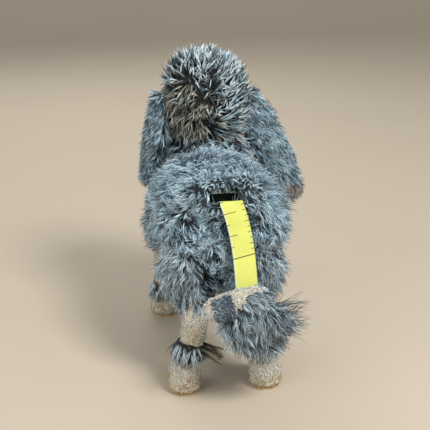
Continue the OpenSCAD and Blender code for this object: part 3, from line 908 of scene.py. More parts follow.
@dataclass(frozen=True)
class Coat:
    """Hair of one kind, grown as locks of hairs that share a curl, with its sizes in millimetres.

    Attributes:
        finish: Name of its material.
        locks: How many locks.
        hairs: Hairs in a lock.
        length: Length of a hair, which the groom scales.
        width: Width of a hair at its root.
        rings: Cross-sections along a hair, before its tip.
        spread: Radius of a lock at its root.
        gather: Share by which a lock closes towards its tip.
        fall: Pull of its weight on the tip.
        curl: Radius of the curl at the tip.
        turns: Turns of the curl.
        ragged: Spread of the hairs' lengths.
        taper: Share of its width that a hair loses before the tip.
        stray: How far single hairs leave their lock.
        patchy: Spread of the locks' shades.
        mixed: Spread of the hairs' shades in a lock.
        scatter: Spread of the locks' directions about the comb, in radians.
        sprout: How far a hair starts off along the skin's normal.
        slot: Its material slot.
    """

    finish: str
    locks: int
    hairs: int
    length: float
    width: float
    rings: int = 5
    spread: float = 1.4
    gather: float = 0.4
    fall: float = 0.3
    curl: float = 0.8
    turns: float = 0.8
    ragged: float = 0.25
    taper: float = 0.7
    stray: float = 0.12
    patchy: float = 0.07
    mixed: float = 0.135
    scatter: float = 0.25
    sprout: float = 0.5
    slot: str = "grey_mohair"

    def grow(self, name: str, body: str, skin: Skin, groom: Groom, seed: int, *nodes: str,
             guard: Guard | None = None, parts: int = 1) -> None:
        """Grows the coat on a skin.

        A hair starts along the skin's normal, turns towards the comb, falls with its weight and winds
        round its lock's own helix. Its section is a triangle that narrows to a point.

        Args:
            name: Name of the piece, numbered if there are several.
            body: The body that it rides on.
            skin: Where the hair grows.
            groom: How it lies at each root.
            seed: Seed of every chance in it.
            *nodes: The CAD nodes that it stands for.
            guard: Moves points out of what the hair must not enter.
            parts: How many pieces the coat is split into, front to back.
        """
        rng = np.random.default_rng(seed)
        at, up = skin.sample(self.locks, rng)
        style = groom(at, up)
        order = np.argsort(at[:, 1])
        at, up, comb = at[order], up[order], along(np.broadcast_to(style.comb, at.shape)[order], up[order])
        length, shade, lift = (np.broadcast_to(part, len(at))[order]
                               for part in (style.length, style.shade, style.lift))
        side = np.cross(up, comb)
        m, n, k = len(at), self.hairs, self.rings

        # each lock turns a little off the comb, and its hairs start on a disc round its root
        turn = rng.normal(0, self.scatter, m)
        comb, side = turned(comb, up, turn), turned(side, up, turn)
        rho = self.spread * MM * np.sqrt(rng.random((m, n, 1)))
        phi = rng.uniform(0, 2 * math.pi, (m, n, 1))
        offset = rho * (np.cos(phi) * side[:, None] + np.sin(phi) * comb[:, None])
        offset -= up[:, None] * rho ** 2 / SKIN_CURVE
        size = self.length * MM * length[:, None] * (1 + self.ragged * rng.uniform(-1, 1, (m, n)))
        lift = np.clip(lift[:, None] + rng.normal(0, LIFT_SPREAD, (m, n)), 0.02, 1.0)
        stray = rng.normal(0, self.stray, (m, n, 3))
        phase = rng.uniform(0, 2 * math.pi, m)[:, None] + rng.normal(0, PHASE_SPREAD, (m, n))

        # each hair bends from the skin's normal to the comb and then down, and winds as it goes
        t = np.linspace(0, 1, k + 1)
        path = np.zeros((m, n, k + 1, 3))
        for i in range(1, k + 1):
            middle = (t[i] + t[i - 1]) / 2
            rise = (lift + (1 - lift) * self.sprout * (1 - middle))[..., None]
            way = up[:, None] * rise + comb[:, None] * (1 - rise * 0.6) + stray * middle
            way = unit(unit(way) + DOWN * self.fall * middle ** 1.5)
            path[:, :, i] = path[:, :, i - 1] + way * (size / k)[..., None]
        wind = 2 * math.pi * self.turns * t + phase[..., None]
        swell = self.curl * MM * t * np.minimum(1.5, size[..., None] / (self.length * MM))
        path += (np.cos(wind) * swell)[..., None] * side[:, None, None]
        path += (np.sin(wind) * swell * CURL_RISE)[..., None] * up[:, None, None]
        path += offset[:, :, None] * (1 - self.gather * t)[:, None]
        path += (at - up * ROOT_DEPTH)[:, None, None]
        path = path.reshape(m * n, k + 1, 3)
        if guard is not None:
            path = guard(path)

        # a triangle carried along each path, thinner towards the tip
        tangent = unit(np.gradient(path, axis=1))
        hint = unit(np.repeat(side, n, 0) + 0.3 * rng.normal(size=(m * n, 3)))[:, None]
        across = unit(np.cross(tangent, hint))
        bind = np.cross(tangent, across)
        thick = self.width * MM / 2 * (1 - self.taper * t[:k] ** 1.6) * rng.uniform(0.75, 1.25, (m * n, 1))
        angle = 2 * math.pi / 3 * np.arange(3)
        ring = (np.cos(angle)[:, None] * across[:, :k, None] + np.sin(angle)[:, None] * bind[:, :k, None])
        ring = path[:, :k, None] + thick[:, :, None, None] * ring
        points = np.concatenate([ring.reshape(m * n, 3 * k, 3), path[:, -1:]], 1)

        # the map holds each hair's shade in u and the way from root to tip in v
        shade = np.where(shade < 0.5, np.clip(shade + rng.normal(0, self.patchy, m), 0.01, 0.49), shade)
        tone = np.clip(np.repeat(shade, n) + rng.normal(0, self.mixed, m * n), 0.01, 0.99)
        tone = np.where(np.repeat(shade, n) < 0.5, np.minimum(tone, 0.49), np.maximum(tone, 0.51))
        hair_map = np.empty((m * n, 3 * k + 1, 2))
        hair_map[:, :-1, 0] = tone[:, None] + np.tile([-0.004, 0.0, 0.004], k)
        hair_map[:, -1, 0] = tone
        hair_map[:, :-1, 1] = np.repeat(t[:k], 3) * 0.98 + 0.01
        hair_map[:, -1, 1] = 0.99

        for index, rows in enumerate(np.array_split(np.arange(m * n), parts)):
            faces = strand_faces(k) + (np.arange(len(rows)) * (3 * k + 1))[:, None, None]
            label = name if parts == 1 else f"{name}_{index + 1}"
            places = hair_map[rows].reshape(-1, 2)
            piece = mesh_piece(label, points[rows], faces.reshape(-1, 3), hair_map=places)
            dress(piece, body, self.finish, self.slot, *nodes)


def cream_groom(at: Array, up: Array) -> Style:
    """Leaves short plush in loose random curls.

    Args:
        at: Roots of the hair.
        up: The skin's normals there.

    Returns:
        How the hair lies there.
    """
    comb = turned(along(np.tile(DOWN + [0.2, 0.1, 0], (len(at), 1)), up), up, 3 * mottle(at, 3, 31))
    shade = np.where(mottle(at, 9, 32) > 0.9, 0.85, 0.36 + 0.1 * mottle(at, 4, 33))
    return Style(comb, 1, np.clip(shade, 0.05, 0.95), 0.45)


def above_table(path: Array) -> Array:
    """Keeps hair off the table."""
    path[..., 2] = np.maximum(path[..., 2], TABLE_GAP)
    return path


# ---- Body ----


@dataclass
class Torso:
    """The stuffed body: a blunt barrel with flat flanks beside the legs, a neck and a woolly coat.

    Attributes:
        pile: Depth of the coat, by which the skin lies inside the solid.
        bluntness: Squareness of the barrel's ends.
        belly_half: Half width between the legs.
        neck: Radius and height of the neck below the head's joint, in millimetres.
    """

    pile: float = 3.2 * MM
    bluntness: float = 2.9
    belly_half: float = 12.5 * MM
    neck: tuple[tuple[float, float], ...] = (
        (26, -26), (24.5, -15), (22.5, -9), (20.5, -4), (17.5, -1.2), (14, -0.4))
    middle: Array = field(init=False)
    radius: float = field(init=False)
    half: float = field(init=False)

    def __post_init__(self) -> None:
        """Takes the barrel's middle, radius and half length from the frame."""
        self.middle, (self.radius, self.half, height) = box_of("body_cover")
        self.middle[2] += self.radius - height

    def flank(self, y: Array) -> Array:
        """Returns 1 beside the legs and 0 between them, along the body."""
        hip, shoulder = joint_at("hind_left_swing")[1], joint_at("front_left_swing")[1]
        return 1 - (ease(y, hip + 24 * MM, hip + 29 * MM)
                    * (1 - ease(y, shoulder - 25 * MM, shoulder - 20 * MM)))

    def rings(self, tape: "TapeMeasure", rows: int = 96, columns: int = 120) -> Array:
        """Works out the skin: a superellipse turned about Y, cut flat beside the legs, open at the mouth.

        Args:
            tape: The tape measure, which knows the mouth.
            rows: Rings along the body.
            columns: Points round it.

        Returns:
            The rings, (rows, columns, 3).
        """
        profile = blunt_profile(self.radius - self.pile, self.half - self.pile, self.bluntness, rows)
        angle = around(columns)
        ray = np.stack([np.cos(angle), -np.sin(angle)], -1)
        under = ease(-ray[:, 1], 0.06, 0.16)
        wall = self.belly_half / np.maximum(np.abs(ray[:, 0]), 1e-6)
        share = self.flank(self.middle[1] + profile[:, 1])[:, None] * under
        reach = profile[:, 0:1] * np.ones(columns)
        reach = reach + (np.minimum(reach, wall) - reach) * share
        y = np.broadcast_to(profile[:, 1:2], reach.shape)
        return tape.pocket(self.middle + np.stack([reach * ray[:, 0], y, reach * ray[:, 1]], -1))

    def groom(self, at: Array, up: Array) -> Style:
        """Combs the coat down and back in swirls and knots, pale over the withers, full on the right.

        The top of the body is painted paler as a highlight, and the right flank, besides its fuller
        coat, is painted darker as shade.

        Args:
            at: Roots of the hair.
            up: The skin's normals there.

        Returns:
            How the hair lies there.
        """
        swirl = 1.3 * mottle(at, 26, 3) + 1.0 * mottle(at, 11, 4) + 0.8 * mottle(at, 5, 9)
        comb = turned(along(DOWN + [0, -0.5, 0], up), up, swirl)
        # high: painted highlight, the top of the body is made paler
        high = ease(at[:, 2], self.middle[2] + 14 * MM, self.middle[2] + 36 * MM)
        ruff = 1 - ease(np.linalg.norm((at - joint_at("head_turn"))[:, :2], axis=1), 18 * MM, 34 * MM)
        # full: a fuller coat on the rear right flank, which is also painted darker there as shade
        full = ease(up[:, 0], 0.5, 0.9) * (1 - ease(at[:, 1], self.middle[1], self.middle[1] + 30 * MM))
        shade = 0.24 + 0.16 * mottle(at, 7, 5) + 0.09 * mottle(at, 20, 6)
        shade = cool(shade + 0.05 * high + 0.12 * ruff - 0.06 * full)
        length = 1 + 0.25 * mottle(at, 14, 7) + 0.3 * full
        return Style(comb, length, shade, 0.24 + 0.12 * mottle(at, 12, 8) + 0.3 * full)

    def shown(self, at: Array, up: Array) -> Array:
        """Tells where the coat grows: not behind the legs' flat pads."""
        hidden = (np.abs(up[:, 0]) > 0.75) & (at[:, 2] < self.middle[2] - 6 * MM)
        return ~(hidden & (self.flank(at[:, 1]) > 0.5))

    def outside(self, at: Array, up: Array) -> Array:
        """Tells which points lie outside the skin, by the superellipse's own sum.

        Args:
            at: The points.
            up: The normals there, which make no difference.

        Returns:
            Whether each point is outside.
        """
        rel = np.abs(at - self.middle) / [1, self.half - self.pile, 1]
        reach = np.hypot(rel[:, 0], rel[:, 2]) / (self.radius - self.pile)
        return rel[:, 1] ** self.bluntness + reach ** self.bluntness > 0.9

    def build(self, tape: "TapeMeasure") -> None:
        """Makes skin, neck, mouth collar and coat.

        Args:
            tape: The tape measure, which keeps hair out of its mouth.
        """
        skin = loft("body_skin", self.rings(tape))
        stuff(skin, cap=0.8)
        dress(skin, "body", "Dark backing", "grey_mohair", "body_cover", "body_stuffing")
        neck = loft("neck_skin", turned_form(np.array(self.neck) * MM, 48) + joint_at("head_turn"))
        dress(neck, "body", "Dark backing", "grey_mohair")
        coat = Coat("Grey mohair", locks=5100, hairs=5, length=8.5, width=0.52, rings=4, spread=1.9,
                    gather=0.48, fall=0.2, curl=1.5, turns=1.0, ragged=0.3, stray=0.16, patchy=0.14,
                    sprout=0.35)
        haired = Skin.of(skin).where(self.shown).where(tape.off_mouth)
        coat.grow("body_mohair", "body", haired, self.groom, 11, guard=tape.guard, parts=6)
        ruff = Coat("Grey mohair", locks=600, hairs=5, length=9.5, width=0.58, rings=4, gather=0.7,
                    curl=1.4, fall=0.1, stray=0.2, patchy=0.14)
        ruff.grow("neck_mohair", "body", Skin.of(neck), self.groom, 12)
        collar = loft("mouth_collar", tape.collar(), hoop=True)
        dress(collar, "body", "Dark backing", "grey_mohair")
        rim = Skin.of(collar).where(tape.rim_hair).where(self.outside)
        brow = Coat("Grey mohair", locks=440, hairs=5, length=5.5, width=0.55, rings=4, spread=0.8,
                    gather=0.68, fall=0.15, patchy=0.14, sprout=0.3)
        brow.grow("mouth_mohair", "body", rim, tape.rim_groom, 13, guard=tape.guard)


# ---- Tape measure ----


@dataclass
class TapeMeasure:
    """The cloth tape that leaves the rump, and the finish of the works inside.

    Attributes:
        width: Width of the tape.
        thick: Thickness of the tape.
        bend: Radius of its bend over the lip.
        rake: Angle of the hanging tape away from the rump.
        lean: Angle of the hanging tape to the right.
        drop: Length that hangs.
        tilt: Angle of the mouth's run from the vertical.
        zero: Distance from the tape's end to its zero line.
        aside: Shift of the tape to the right side of the mouth.
        swing: How far the tape sweeps to the right before it hangs straight.
        mouth_reach: Distance from the spool's axis to the mouth.
        mouth_half: Half of the mouth's outer width.
        mouth_height: The mouth's outer height.
        mouth_depth: How far the mouth's run is kept clear of hair.
        clear_half: Half width of what is kept clear in it.
        clear_height: Height of what is kept clear in it.
        hair_gap: How far hair stays under the tape.
        cup: How far the tape is cupped across its width.
        collar_section: Distance outwards and along the mouth's run of the fur collar, in millimetres.
    """

    width: float = 12.7 * MM
    thick: float = 0.35 * MM
    bend: float = 1.6 * MM
    rake: float = math.radians(16.5)
    lean: float = math.radians(12)
    drop: float = 59 * MM
    tilt: float = math.radians(70)
    zero: float = 29 * MM
    aside: float = 1.9 * MM
    swing: float = 6.7 * MM
    mouth_reach: float = 26.6 * MM
    mouth_half: float = 11 * MM
    mouth_height: float = 9.4 * MM
    mouth_depth: float = 16 * MM
    clear_half: float = 9.5 * MM
    clear_height: float = 6.4 * MM
    hair_gap: float = 0.7 * MM
    cup: float = 0.35 * MM
    collar_section: tuple[tuple[float, float], ...] = (
        (0.15, -9.0), (0.15, -1.6), (0.9, -0.9), (2.4, -1.4), (3.9, -3.2), (4.9, -6.5), (5.0, -12.0),
        (3.8, -20.0), (1.0, -24.0))

    def __post_init__(self) -> None:
        """Finds the lip from the spool's place in the frame."""
        spool, half = box_of("wound_tape")
        self.run_way = np.array([0, -math.sin(self.tilt), math.cos(self.tilt)])
        self.run_up = np.array([0, math.cos(self.tilt), math.sin(self.tilt)])
        self.lip = spool + (half[2] + 0.25 * MM - self.bend) * self.run_up + self.mouth_reach * self.run_way
        self.out = np.array([0, -math.cos(self.rake), math.sin(self.rake)])
        self.top = self.lip + self.bend * self.out
        fall = np.array([0, -math.sin(self.rake), -math.cos(self.rake)])
        self.way = math.sin(self.lean) * RIGHT + math.cos(self.lean) * fall
        self.across = math.cos(self.lean) * RIGHT - math.sin(self.lean) * fall

    def sweep(self, share: Array) -> Array:
        """Returns the hanging tape's shift to the right of a straight line, at shares of its drop."""
        share = np.clip(share, 0, 1)
        return self.aside + self.swing * (1 - (1 - share) ** 3) - self.drop * math.sin(self.lean) * share

    def guard(self, path: Array) -> Array:
        """Presses hair that would poke through the tape back under it, and clears the mouth.

        Args:
            path: Points of each hair, root first.

        Returns:
            The points, moved.
        """
        rel = path - self.top
        beside, below, proud = rel @ self.across, rel @ self.way, rel @ self.out
        beside = beside - self.sweep(below / self.drop)
        under = (np.abs(beside) < self.width / 2 + 0.6 * MM) & (below > -2 * MM) & (below < self.drop)
        push = np.where(under & (proud > -self.hair_gap), proud + self.hair_gap, 0.0)
        path = path - push[..., None] * self.out
        rel = path - self.lip
        above, outward = rel @ self.run_up, rel @ self.run_way
        in_mouth = (np.abs(rel[..., 0]) < self.clear_half) & (above > -1 * MM) & (above < self.clear_height)
        in_mouth &= outward > -self.mouth_depth
        # a hair goes round the mouth on the side of its own root
        high = above[:, :1] > self.mouth_height / 2
        lifted = np.where(in_mouth & high, self.clear_height - above, 0.0)
        sunk = np.where(in_mouth & ~high, -1.6 * MM - above, 0.0)
        return path + (lifted + sunk)[..., None] * self.run_up

    def at_mouth(self, at: Array, margin: float) -> Array:
        """Tells which points lie near the mouth's opening, in its outline.

        Args:
            at: The points.
            margin: How far the outline is grown.

        Returns:
            Whether each point is there.
        """
        rel = at - self.lip
        above = rel @ self.run_up
        near = rel @ self.run_way > -self.mouth_depth
        near &= (above > -margin) & (above < self.mouth_height + margin)
        return near & (np.abs(rel[..., 0]) < self.mouth_half + margin)

    def off_mouth(self, at: Array, up: Array) -> Array:
        """Tells where the coat grows round the mouth."""
        return ~self.at_mouth(at, 0.8 * MM)

    def pocket(self, at: Array) -> Array:
        """Sinks the skin inside the mouth, so that the mouth is a real opening."""
        depth = 15 * MM + (at - self.lip) @ self.run_way
        return at - np.where(self.at_mouth(at, -0.4 * MM), depth, 0.0)[..., None] * self.run_way

    def collar(self) -> Array:
        """Works out the fur collar: a section carried round the mouth's rounded square.

        Returns:
            The hoop's rings, which slope from its rim to the coat.
        """
        c, s = np.cos(around(64)), np.sin(around(64))
        square = (np.abs(c) ** 8 + np.abs(s) ** 8) ** (-1 / 8)
        section = np.array(self.collar_section) * MM
        side = c * square * (self.mouth_half + section[:, 0:1])
        rise = self.mouth_height / 2 + s * square * (self.mouth_height / 2 + section[:, 0:1])
        return (self.lip + side[..., None] * RIGHT + rise[..., None] * self.run_up
                + section[:, 1, None, None] * self.run_way)[::-1]

    def rim_hair(self, at: Array, up: Array) -> Array:
        """Tells where the collar has hair: outside the mouth and not under the tape.

        Args:
            at: The points.
            up: The normals there, which make no difference.

        Returns:
            Whether each point has hair.
        """
        rel = at - self.lip
        outside = (np.abs(rel[:, 0]) > self.mouth_half) | (rel @ self.run_up > self.mouth_height)
        return (outside | (rel @ self.run_up < 0)) & (rel @ self.run_way > -23 * MM)

    def rim_groom(self, at: Array, up: Array) -> Style:
        """Combs the brow out over the mouth and the rest of the collar away from it.

        Args:
            at: Roots of the hair.
            up: The skin's normals there.

        Returns:
            How the hair lies there.
        """
        rel = at - self.lip
        above = ease(rel @ self.run_up, 0.7 * self.mouth_height, self.mouth_height)[:, None]
        aside = np.sign(rel[:, 0:1]) * RIGHT
        wave = 0.6 * mottle(at, 6, 14)[:, None] * aside
        comb = above * (wave + self.run_way) + (1 - above) * (aside * 0.8 + DOWN)
        behind = ease(-(rel @ self.run_way), 5 * MM, 10 * MM)
        return Style(comb, 0.8 + 0.7 * behind, cool(0.26 + 0.12 * mottle(at, 6, 15)), 0.16 + 0.1 * behind)

    def build(self) -> None:
        """Makes the visible tape and gives the works, soles, nose and mouth their finishes."""
        self.make_tape()
        for node in frame["nodes"]:
            for endings, finish in WORKS.items():
                if node.endswith(endings):
                    refinish(node, finish)

    def centre_line(self) -> tuple[Array, Array, Array, Array]:
        """Works out the run in the mouth, the bend over the lip and the hanging stretch.

        Returns:
            Places, side directions, outward directions and lengths from the hanging end.
        """
        run = np.linspace(-19, -0.5, 12)[:, None] * MM
        first = self.lip + self.bend * self.run_up + run * self.run_way
        first = first + self.aside * ease(run, run[0], run[-1]) * RIGHT
        angle = np.linspace(0, 1, 14)[:, None]
        blend = ease(angle)
        out = unit(self.run_up * (1 - angle) + self.out * angle)
        middle = self.lip + self.bend * out + self.aside * RIGHT
        fall = np.linspace(0.015, 1, 60)[:, None] * self.drop
        sag = 0.5 * MM * np.sin(math.pi * fall / self.drop) * self.out
        last = self.top + fall * self.way - sag + self.sweep(fall / self.drop) * self.across
        side = np.concatenate([RIGHT + 0 * first, unit((1 - blend) * RIGHT + blend * self.across),
                               self.across + 0 * last])
        place = np.concatenate([first, middle, last])
        outward = np.concatenate([self.run_up + 0 * first, out, self.out + 0 * last])
        length = np.concatenate([[0], np.cumsum(np.linalg.norm(np.diff(place, axis=0), axis=1))])
        return place, side, outward, length[-1] - length

    def make_tape(self) -> None:
        """Carries the tape's thin section along its centre line, gently cupped."""
        place, side, outward, length = self.centre_line()
        s = np.linspace(-1, 1, 13)
        cup = self.cup * (1 - s ** 2) * ease(np.arange(len(place)) / len(place), 0.2, 0.5)[:, None]
        place, side, outward = place[:, None], side[:, None], outward[:, None]
        front = place + side * (s * self.width / 2)[:, None] + outward * cup[..., None]
        back = front - outward * self.thick
        tape = loft("tape_ribbon", np.concatenate([back, front[:, ::-1]], 1))
        across = np.concatenate([s, s[::-1]]) * 0.5 + 0.5
        u, v = np.broadcast_arrays(across, length[:, None] / MAP_LENGTH)
        ends = [[0.5, length[0] / MAP_LENGTH], [0.5, 0.0]]
        tape_map = np.concatenate([np.stack([u.ravel(), v.ravel()], -1), ends])
        layer = tape.data.uv_layers.new(name=TAPE_MAP)
        corners = read(tape.data.loops, "vertex_index", 1, int)
        layer.uv.foreach_set("vector", tape_map[corners].astype(np.float32).ravel())
        TapeFinish("Printed tape", self.zero).build()
        tape.data.materials.append(bpy.data.materials["Printed tape"])
        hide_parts("free_tape")
        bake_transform(tape)
        log.info("tape_ribbon: %d faces", len(tape.data.polygons))


# ---- Tail ----


@dataclass
class Tail:
    """The shaved tail sewn to the tape's end, with its dark scrap of fur and its hanging pom.

    Attributes:
        rake: Angle of the hanging tape away from the rump.
        slant: Angle of the tail to the level.
        radius: Radius of the tail.
        half: Half of its length.
        bluntness: Squareness of its ends.
    """

    rake: float
    slant: float = math.radians(14)
    radius: float = 6.7 * MM
    half: float = 16.4 * MM
    bluntness: float = 3.4

    def __post_init__(self) -> None:
        """Takes the tail's middle, axis and size from the frame."""
        self.middle, _ = box_of("tail_stuffing")
        self.pom_middle, self.pom_half = box_of("tail_pom")
        rise = np.array([0, math.sin(self.rake), math.cos(self.rake)])
        self.axis = math.cos(self.slant) * RIGHT + math.sin(self.slant) * rise

    def tube(self) -> Array:
        """Works out the tail: a blunt profile turned about its axis, with soft lumps round it.

        Returns:
            The rings, (rows, columns, 3).
        """
        profile = blunt_profile(self.radius, self.half, self.bluntness, 26)
        run, side = profile[:, 1, None, None] * self.axis, unit(np.cross(UP, self.axis))
        angle = around(36)
        lumps = 1 + 0.05 * np.sin(3 * angle + 0.8 * profile[:, 1:2] / MM)
        ring = np.cos(angle)[:, None] * side + np.sin(angle)[:, None] * np.cross(self.axis, side)
        return self.middle + ring * (profile[:, 0:1] * lumps)[..., None] + run

    def build(self) -> None:
        """Makes tube, fuzz, scrap, end hair, pom and wisps."""
        tube = loft("tail_skin", self.tube())
        stuff(tube, cap=0.5)
        dress(tube, "tail", "Cream plush", "cream_plush", "tail_cover", "tail_stuffing")
        skin = Skin.of(tube)
        fuzz = Coat("Cream fuzz", locks=1200, hairs=3, length=2.0, width=0.5, rings=2, spread=0.6, curl=0.4,
                    slot="cream_plush")
        fuzz.grow("tail_fuzz", "tail", skin, cream_groom, 21)
        scrap = Coat("Dark mohair", locks=300, hairs=5, length=3.6, width=0.55, rings=3, spread=0.8,
                     fall=0.1, curl=0.5)
        scrap.grow("tail_scrap", "tail", skin.where(self.scrap_area), self.scrap_groom, 22, "tail_patch")
        end = Coat("Sooty mohair", locks=190, hairs=5, length=7.5, width=0.5, rings=4, spread=1.0,
                   fall=0.35, curl=1.0, gather=0.7, patchy=0.15)
        end.grow("tail_end_mohair", "tail", skin.where(self.end_area), self.end_groom, 27)
        ball = turned_form(blunt_profile(1.0, 1.0, 2.2, 24), 40) * (self.pom_half - 5 * MM) * [0.95, 1, 0.75]
        pom = loft("tail_pom_core", ball + self.pom_middle + np.array([-3.5, 0, 2.5]) * MM)
        dress(pom, "tail", "Dark backing", "grey_mohair", "tail_pom")
        coat = Coat("Sooty mohair", locks=760, hairs=6, length=11, width=0.55, rings=4, spread=1.5,
                    curl=1.6, fall=0.6, gather=0.8, patchy=0.17, mixed=0.08, scatter=0.4, sprout=0.35)
        coat.grow("tail_pom_mohair", "tail", Skin.of(pom), self.pom_groom, 23, guard=above_table)
        wisps = Coat("Dark mohair", locks=34, hairs=4, length=19, width=0.35, spread=1.5, gather=0.1,
                     fall=0.15, curl=2.0, stray=0.25)
        wisps.grow("tail_wisps", "tail", Skin.of(pom).where(self.wisp_area),
                   lambda at, up: Style([1.0, -0.1, 0.05], length=1, shade=0.08, lift=0.35), 24)

    def scrap_area(self, at: Array, up: Array) -> Array:
        """Tells where the scrap of fur is: the outer side of the tail's left end."""
        run = (at - self.middle) @ self.axis
        return (run < -1.5 * MM) & (run > -13 * MM) & (up[:, 1] < -0.3) & (up[:, 2] > -0.55)

    def scrap_groom(self, at: Array, up: Array) -> Style:
        """Combs the scrap along the tail."""
        return Style(self.axis + 0.6 * DOWN, 1, 0.16 + 0.1 * mottle(at, 5, 24), 0.25)

    def end_area(self, at: Array, up: Array) -> Array:
        """Tells where the tail's right end carries long hair."""
        run = (at - self.middle) @ self.axis
        return (run > 1 * MM + 6 * MM * up[:, 2]) & (up[:, 2] < 0.75) & ((up[:, 1] < 0.2) | (run > 12 * MM))

    def end_groom(self, at: Array, up: Array) -> Style:
        """Combs the hair of the tail's end to the right and down."""
        comb = [0.9, -0.1, -0.8] + 0.5 * mottle(at, 5, 28)[:, None] * UP
        return Style(comb, 1, cool(0.24 + 0.12 * mottle(at, 4, 29)), 0.16)

    def pom_groom(self, at: Array, up: Array) -> Style:
        """Combs the pom down and to the right, longest below, and paler at its lower tips.

        Args:
            at: Roots of the hair.
            up: The skin's normals there.

        Returns:
            How the hair lies there.
        """
        rel = (at - self.pom_middle) / self.pom_half[0]
        comb = unit(DOWN * 1.1 + 0.8 * RIGHT + 0.3 * rel) + 0.5 * mottle(at, 8, 34)[:, None] * UP
        shade = cool(0.2 + 0.1 * mottle(at, 7, 25) + 0.1 * ease(-rel[:, 2], 0.2, 0.9))
        length = 1 + 0.15 * mottle(at, 9, 26) + 0.25 * ease(rel[:, 0] - rel[:, 2], 0.0, 1.4)
        return Style(comb, length, shade, 0.22)

    def wisp_area(self, at: Array, up: Array) -> Array:
        """Tells where the long loose hairs grow: the pom's upper right."""
        rel = (at - self.pom_middle) / self.pom_half[0]
        return (rel[:, 0] > 0.3) & (rel[:, 2] > -0.1)


# ---- Head ----


